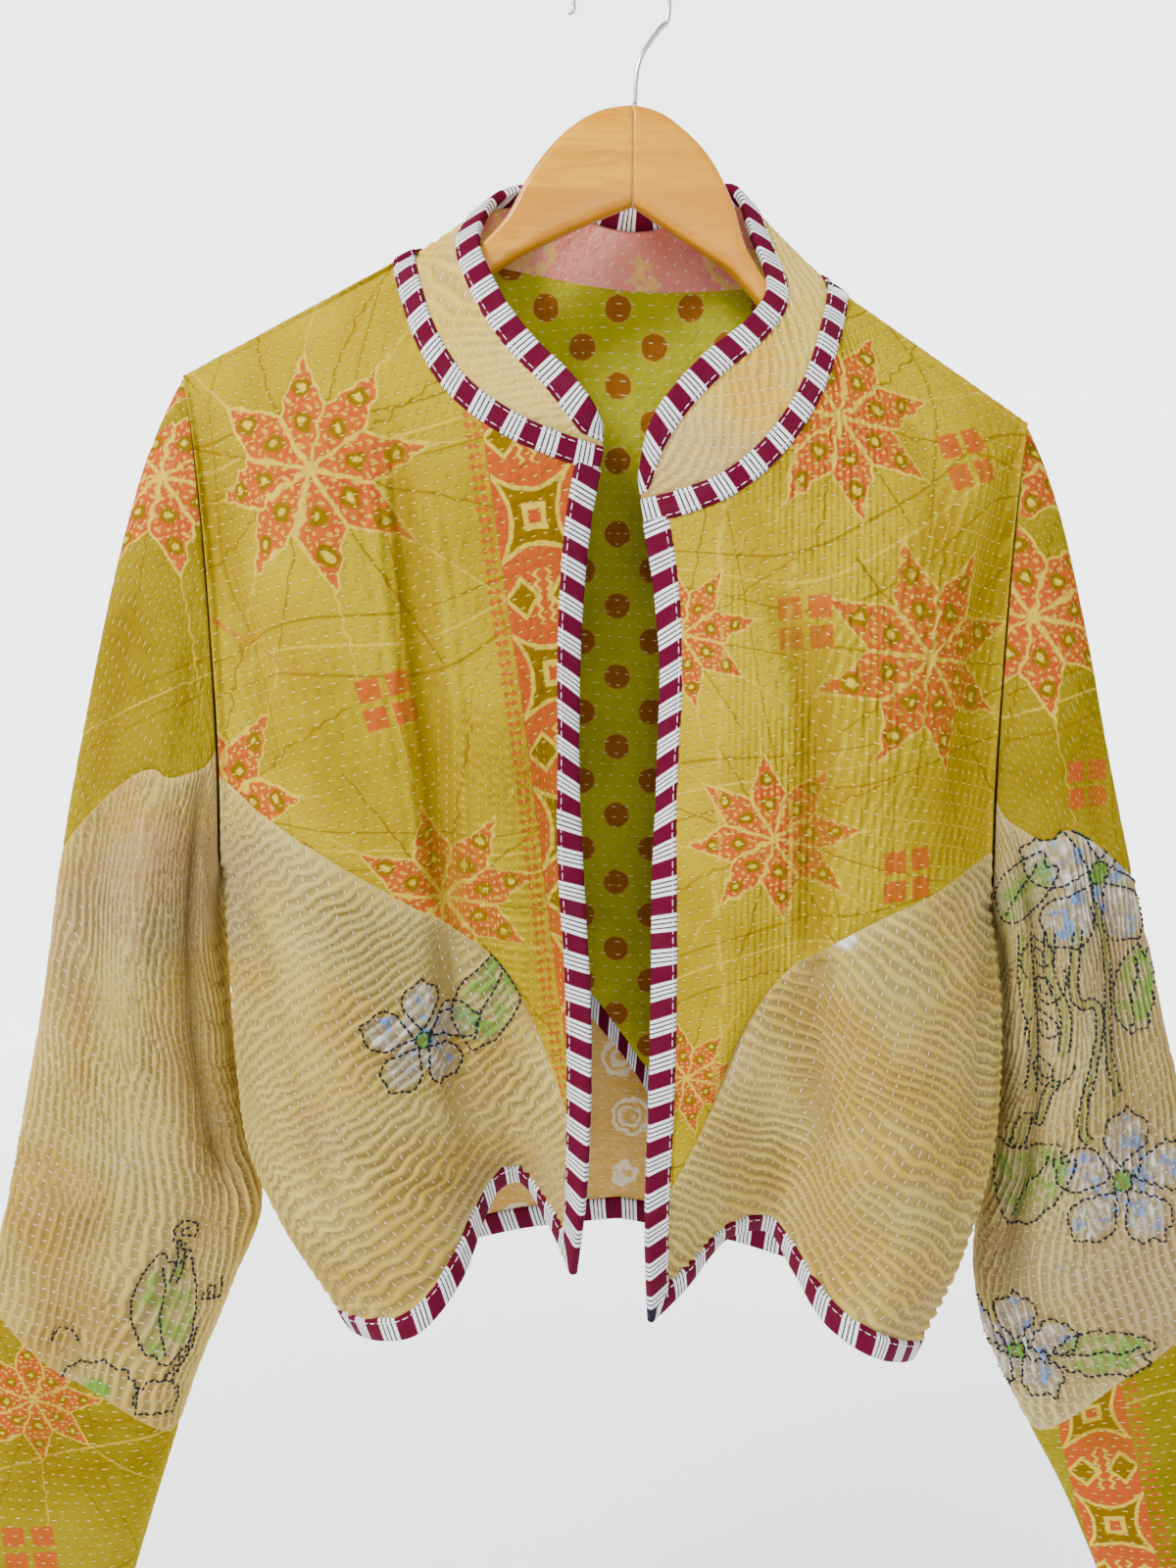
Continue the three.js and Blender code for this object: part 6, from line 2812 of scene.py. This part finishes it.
    def garden(self, needle: Embroidery) -> None:
        """Sews the flowers, the stems, the curls and the leaves.

        Args:
            needle: sews on the middle cloth.
        """
        for flower in self.blooms():
            needle.flower(flower.place, flower.size, flower.turn)
        for leaf in self.leaves():
            needle.leaf(leaf.place, leaf.size * 1.12, leaf.turn)
        for vine in self.vines():
            needle.edges(vine)
        for place, size, turn in (
            ((0.640, 3.50), 0.0105, 30), ((0.635, 3.98), 0.0095, 200),
            ((0.655, 4.42), 0.0100, 20), ((0.680, 4.90), 0.0100, 170),
        ):
            needle.scroll(place, size, turn)


@dataclass
class Collar:
    """The stand collar."""

    cloth: Cloth = field(init=False)
    form: Form = field(init=False)

    def __post_init__(self) -> None:
        """Lays out its cloth."""
        self.form = Form(CollarForm(), (0, COLLAR_LAST, 0, 1), -1)
        self.form.values = self.unrolled()
        self.cloth = Cloth(
            name="collar",
            form=self.form,
            span=(0.0, float(COLLAR_LAST)),
            start=np.zeros_like,
            end=np.ones_like,
            steps=(430, 36),
            lining_steps=(200, 14),
            quilting=Quilting(-38.0, 5.8 * MM, 5.6 * MM, 1.1 * MM, wander=1.0, slant=0.15, seed=51),
        )

    def unrolled(self) -> Array:
        """Lengths along the neck seam and up the collar."""
        us, vs = self.form.grid
        across, down = np.meshgrid(us, vs)
        points = self.form.surface(across, down)
        along = np.linalg.norm(np.diff(points[0], axis=0), axis=1)
        along = np.concatenate([[0.0], np.cumsum(along)])[None, :] + np.zeros_like(across)
        height = np.linalg.norm(points - points[:1], axis=-1)
        return np.stack([along, height, along, height], axis=-1)

    def build(self, materials: Materials) -> None:
        """Makes the collar."""
        place(self.cloth, Finish.BEIGE_COLLAR, Finish.PINK, Slot.BEIGE, materials)


@dataclass
class Bindings:
    """All the striped tapes and the stitches that hold them.

    Attributes:
        fronts: both fronts.
        back: the back.
        sleeves: both sleeves.
        collar: the collar.
    """

    fronts: dict[Side, Front]
    back: Back
    sleeves: dict[Side, Sleeve]
    collar: Collar
    stitches: Threads = field(init=False)

    def __post_init__(self) -> None:
        """Threads the needle."""
        self.stitches = Threads("binding_topstitches", 0.22 * MM, 3.2 * MM, 1.3 * MM)

    @staticmethod
    def pairs(u: Array | float, v: Array | float) -> Array:
        """Rows of parameters."""
        return np.stack(np.broadcast_arrays(np.asarray(u, float), np.asarray(v, float)), -1)

    def front_tape(self, side: Side) -> Tape:
        """Down the front edge, round the tip and along the hem.

        Args:
            side: the wearer's side.

        Returns:
            The tape.
        """
        form = self.fronts[side].form
        start = float(form.inset(np.array(0.0), np.array(0.0), 0, 0.02))
        v = np.linspace(start * 0.9, 0.985, 170)
        reach = form.inset(np.zeros_like(v), v, 0.06, 0)
        u = np.linspace(0.05, 0.995, 110)
        rise = 1 - form.inset(u, np.full_like(u, 0.98), 0, 0.02)
        corner_u = float(form.inset(np.array(0.0), np.array(1.0), 0.06, 0))
        corner_v = float(1 - form.inset(np.array(corner_u), np.array(0.98), 0, 0.02))
        edge = np.concatenate([self.pairs(0.0, v), [[0.0, 1.0]], self.pairs(u, 1.0)])
        inside = np.concatenate([self.pairs(reach, v), [[corner_u, corner_v]], self.pairs(u, rise)])
        hem_from = len(v) + 1
        inside[hem_from:, 0] = np.maximum(inside[hem_from:, 0], corner_u * 0.98)
        run = TapeRun.along(form, edge, inside)
        return Tape(f"edge_binding_{side.word}", run, seed=1 + side.value)

    def neck_tape(self) -> Tape:
        """Over the neck seam, from one front edge round the back to the other."""
        runs = []
        for form, u in (
            (self.fronts[Side.RIGHT].form, np.linspace(0, 0.99, 90)),
            (self.back.form, np.linspace(-0.99, 0.99, 150)),
            (self.fronts[Side.LEFT].form, np.linspace(0.99, 0, 90)),
        ):
            depth = form.inset(u, np.zeros_like(u), 0, 0.02)
            runs.append(TapeRun.along(form, self.pairs(u, 0.0), self.pairs(u, depth)))
        run = runs[0].joined(runs[1]).joined(runs[2])
        return Tape("neck_seam_binding", run, folded=False, seed=4)

    def collar_tape(self) -> Tape:
        """Over the collar's top edge."""
        u = np.linspace(0.0, COLLAR_LAST, 330)
        form = self.collar.form
        height = np.linalg.norm(
            form.surface(u, np.zeros_like(u)) - form.surface(u, np.ones_like(u)), axis=1
        )
        down = 1 - np.minimum(0.8, TAPE_WIDTH / height)
        run = TapeRun.along(form, self.pairs(u, 1.0), self.pairs(u, down))
        return Tape("collar_edge_binding", run, seed=5)

    def back_tapes(self) -> list[Tape]:
        """Along the back hem, and over the V seam inside."""
        form = self.back.form
        u = np.linspace(-0.985, 0.985, 220)
        rise = 1 - form.inset(u, np.full_like(u, 0.98), 0, 0.02)
        hem = TapeRun.along(form, self.pairs(u, 1.0), self.pairs(u, rise))
        seam = Lookup(BACK_SEAM)(u)
        half = TAPE_WIDTH / 2 / 0.4
        over = TapeRun.along(form, self.pairs(u, seam - half), self.pairs(u, seam + half))
        return [
            Tape("edge_binding_back", hem, seed=6),
            Tape("back_seam_tape", over, folded=False, inside=True, seed=7),
        ]

    def cuff_tape(self, side: Side) -> Tape:
        """Round the sleeve's end.

        Args:
            side: the wearer's side.

        Returns:
            The tape.
        """
        form = self.sleeves[side].form
        angle = np.linspace(-0.5, 1.5, 130, endpoint=False)
        last = np.full_like(angle, SleeveForm.LAST)
        reach = TAPE_WIDTH * 0.1 / np.linalg.norm(
            form.surface(angle, last) - form.surface(angle, last - 0.1), axis=1
        )
        run = TapeRun.along(form, self.pairs(angle, last), self.pairs(angle, last - reach))
        return Tape(f"cuff_binding_{side.word}", run, loop=True, seed=8 + side.value)

    def build(self, materials: Materials) -> None:
        """Makes the tapes and sews them down.

        Args:
            materials: the finishes made so far.
        """
        tapes = [self.front_tape(side) for side in Side]
        tapes += [self.neck_tape(), self.collar_tape(), *self.back_tapes()]
        tapes += [self.cuff_tape(side) for side in Side]
        for tape in tapes:
            attach(tape.build(materials[Finish.TAPE]), Slot.TAPE, tape.name)
            if tape.inside:
                continue
            for share in (0.84,) if tape.folded else (0.84, 0.16):
                line = tape.run.at(share, 1.55 * MM * np.ones(len(tape.run.points)))
                self.stitches.sew(line, tape.run.normals[:, int(share * 8)])
        attach(self.stitches.build(materials[Finish.WHITE]), Slot.TAPE)


@dataclass
class Hanger:
    """Contoured wooden arms and the wire hook.

    Attributes:
        corner: power of the section's rounded corners.
        sides: points round an arm.
        wire_sides: points round the wire.
    """

    corner: float = 0.42
    sides: int = 28
    wire_sides: int = 16

    def arm(self, side: Side, material: bpy.types.Material) -> None:
        """Makes one arm.

        Args:
            side: the wearer's side.
            material: its finish.
        """
        rows = SIZES[side].arm
        t = np.linspace(0, len(rows) - 1, 90)
        x, top, bottom, depth = np.moveaxis(Table(rows)(t), -1, 0)
        turn = np.linspace(0, 2 * math.pi, self.sides, endpoint=False)
        c, s = np.cos(turn), np.sin(turn)
        y = (np.sign(c) * np.abs(c) ** self.corner)[None, :] * depth[:, None] / 2
        rise = (np.sign(s) * np.abs(s) ** self.corner)[None, :] * (top - bottom)[:, None] / 2
        points = stacked(x[:, None], y, (top + bottom)[:, None] / 2 + rise)
        # Marks the left arm, which the wood's material tints pinkish as a painted highlight.
        highlit_arm = 1.0 if side is Side.LEFT else 0.0
        values = stacked(np.abs(x[:, None] - x[0]), points[..., 2], highlit_arm)
        faces = outward(as_rows(points), *tube_faces(len(t), self.sides))
        builder = MeshBuilder()
        builder.add(as_rows(points), faces, {"wood_place": as_rows(values)})
        node = f"hanger_arm_{side.word}"
        attach(builder.build(node + "_wood", material), Slot.WOOD, node)

    def hook(self, material: bpy.types.Material) -> None:
        """Makes the wire from the wood to its open end.

        Args:
            material: its finish.
        """
        centre = WIRE_RADIUS - HOOK_RADIUS
        bend = [
            (HOOK_RADIUS * math.cos(a), 0.0, centre + HOOK_RADIUS * math.sin(a))
            for a in np.radians(np.linspace(-20, 185, 21))
        ]
        route = [(x, 0.0, z) for x, z in HOOK_STEM] + bend + [(-24.0, 0.0, centre - 3.5)]
        line = Curve(route)(np.linspace(0, 1, 120))
        along = np.gradient(line, axis=0)
        along /= np.linalg.norm(along, axis=1, keepdims=True)
        across = np.array([0.0, 1.0, 0.0]) + np.zeros_like(line)
        up = np.cross(along, across)
        turn = np.linspace(0, 2 * math.pi, self.wire_sides, endpoint=False)
        taper = np.ones(len(line))
        taper[-3:] = (0.96, 0.82, 0.45)
        ring = across[:, None] * np.cos(turn)[None, :, None] + up[:, None] * np.sin(turn)[None, :, None]
        points = line[:, None] + ring * (WIRE_RADIUS * MM * taper)[:, None, None]
        faces = outward(as_rows(points), *tube_faces(len(line), self.wire_sides))
        builder = MeshBuilder()
        builder.add(as_rows(points), faces, {})
        attach(builder.build("hanger_hook_wire", material), Slot.STEEL, "hanger_hook")

    def build(self, materials: Materials) -> None:
        """Makes the arms and the hook.

        Args:
            materials: the finishes made so far.
        """
        for side in Side:
            self.arm(side, materials[Finish.WOOD])
        self.hook(materials[Finish.STEEL])


@dataclass
class Studio:
    """Camera, lights, and a pale floor that curves up all round.

    Attributes:
        camera_place: of the lens, in metres.
        tilt: of the camera below level, in degrees.
        lens: in millimetres.
        floor: height of the floor, in metres.
    """

    camera_place: tuple[float, float, float] = (-0.015, -0.580, -0.280)
    tilt: float = 9.3
    lens: float = 27.09
    floor: float = -1.25

    def camera(self) -> None:
        """Makes the camera, in front of the jacket's upper half."""
        data = bpy.data.cameras.new("camera")
        data.lens = self.lens
        data.sensor_width = 36.0
        data.clip_start = 0.01
        camera = bpy.data.objects.new("camera", data)
        camera.location = self.camera_place
        camera.rotation_euler = (math.radians(90 - self.tilt), 0.0, 0.0)
        bpy.context.scene.collection.objects.link(camera)
        bpy.context.scene.camera = camera

    def light(self, name: str, place: Colour, size: float, power: float, tint: Colour = (1, 1, 1)) -> None:
        """Makes one soft light that faces the jacket.

        Args:
            name: of the light.
            place: where it stands, in metres.
            size: its diameter, in metres.
            power: in watts.
            tint: its colour.
        """
        data = bpy.data.lights.new(name, "AREA")
        data.shape = "DISK"
        data.size = size
        data.energy = power
        data.color = tint
        lamp = bpy.data.objects.new(name, data)
        lamp.location = place
        aim = Vector((0.0, 0.0, -0.4)) - Vector(place)
        lamp.rotation_euler = aim.to_track_quat("-Z", "Y").to_euler()
        bpy.context.scene.collection.objects.link(lamp)

    def backdrop(self) -> None:
        """Makes the floor, curved up into a low wall all round, glowing towards the back."""
        flat, bend, top, sides = 2.2, 1.6, 4.4, 72
        profile = [(0.0, 0.0), (flat, 0.0)]
        profile += [
            (flat + bend * math.sin(a), bend * (1 - math.cos(a)))
            for a in np.radians(np.linspace(9, 90, 10))
        ]
        profile.append((flat + bend, top))
        turns = np.linspace(0, 2 * math.pi, sides, endpoint=False)
        radius = np.array([r for r, _ in profile])[:, None]
        points = stacked(
            radius * np.cos(turns)[None, :],
            radius * np.sin(turns)[None, :],
            self.floor + np.array([h for _, h in profile])[:, None],
        )
        # Painted light: the floor glows, not at all in front and fully from about a metre behind; the glow
        # also lights the jacket.
        glow = np.clip((points[..., 1] + 0.3) / 1.4, 0, 1)
        builder = MeshBuilder()
        quads, _ = tube_faces(len(profile), sides)
        builder.add(as_rows(points), [quads], {"glow": as_rows(stacked(glow, glow, glow))})
        graph = Graph("pale floor")
        shine = graph.attribute("glow")[0] * 2.3
        graph.shade(
            Base_Color=(0.84, 0.84, 0.85), Roughness=0.9,
            Emission_Color=(0.95, 0.97, 1.0), Emission_Strength=shine,
        )
        graph.material.cycles.emission_sampling = "NONE"
        builder.build("floor", graph.material)

    def build(self) -> None:
        """Lights the scene and lays the floor."""
        world = bpy.data.worlds.new("studio")
        world.use_nodes = True
        background = world.node_tree.nodes["Background"]
        background.inputs["Color"].default_value = (0.93, 0.95, 1.0, 1.0)
        background.inputs["Strength"].default_value = 0.12
        bpy.context.scene.world = world
        self.light("key", (-1.0, -0.9, 0.85), 0.35, 44.0, (1.0, 0.99, 0.96))
        self.light("fill", (0.1, -1.9, -0.1), 0.8, 7.0)
        self.backdrop()


def main() -> None:
    """Builds the jacket on its hanger, and the studio round it."""
    logging.basicConfig(level=logging.INFO, format="%(name)s %(message)s")
    studio = Studio()
    studio.camera()
    materials = Materials()
    Hanger().build(materials)
    threads = Threads("embroidery_stitches", 0.56 * MM, 2.6 * MM, 0.9 * MM)
    fronts = {side: Front(side, threads) for side in Side}
    back = Back()
    sleeves = {side: Sleeve(side, threads) for side in Side}
    collar = Collar()
    for part in (*fronts.values(), back, *sleeves.values(), collar):
        part.build(materials)
    Bindings(fronts, back, sleeves, collar).build(materials)
    attach(threads.build(materials[Finish.NAVY]), Slot.BEIGE)
    studio.build()


if __name__ == "__main__":
    main()
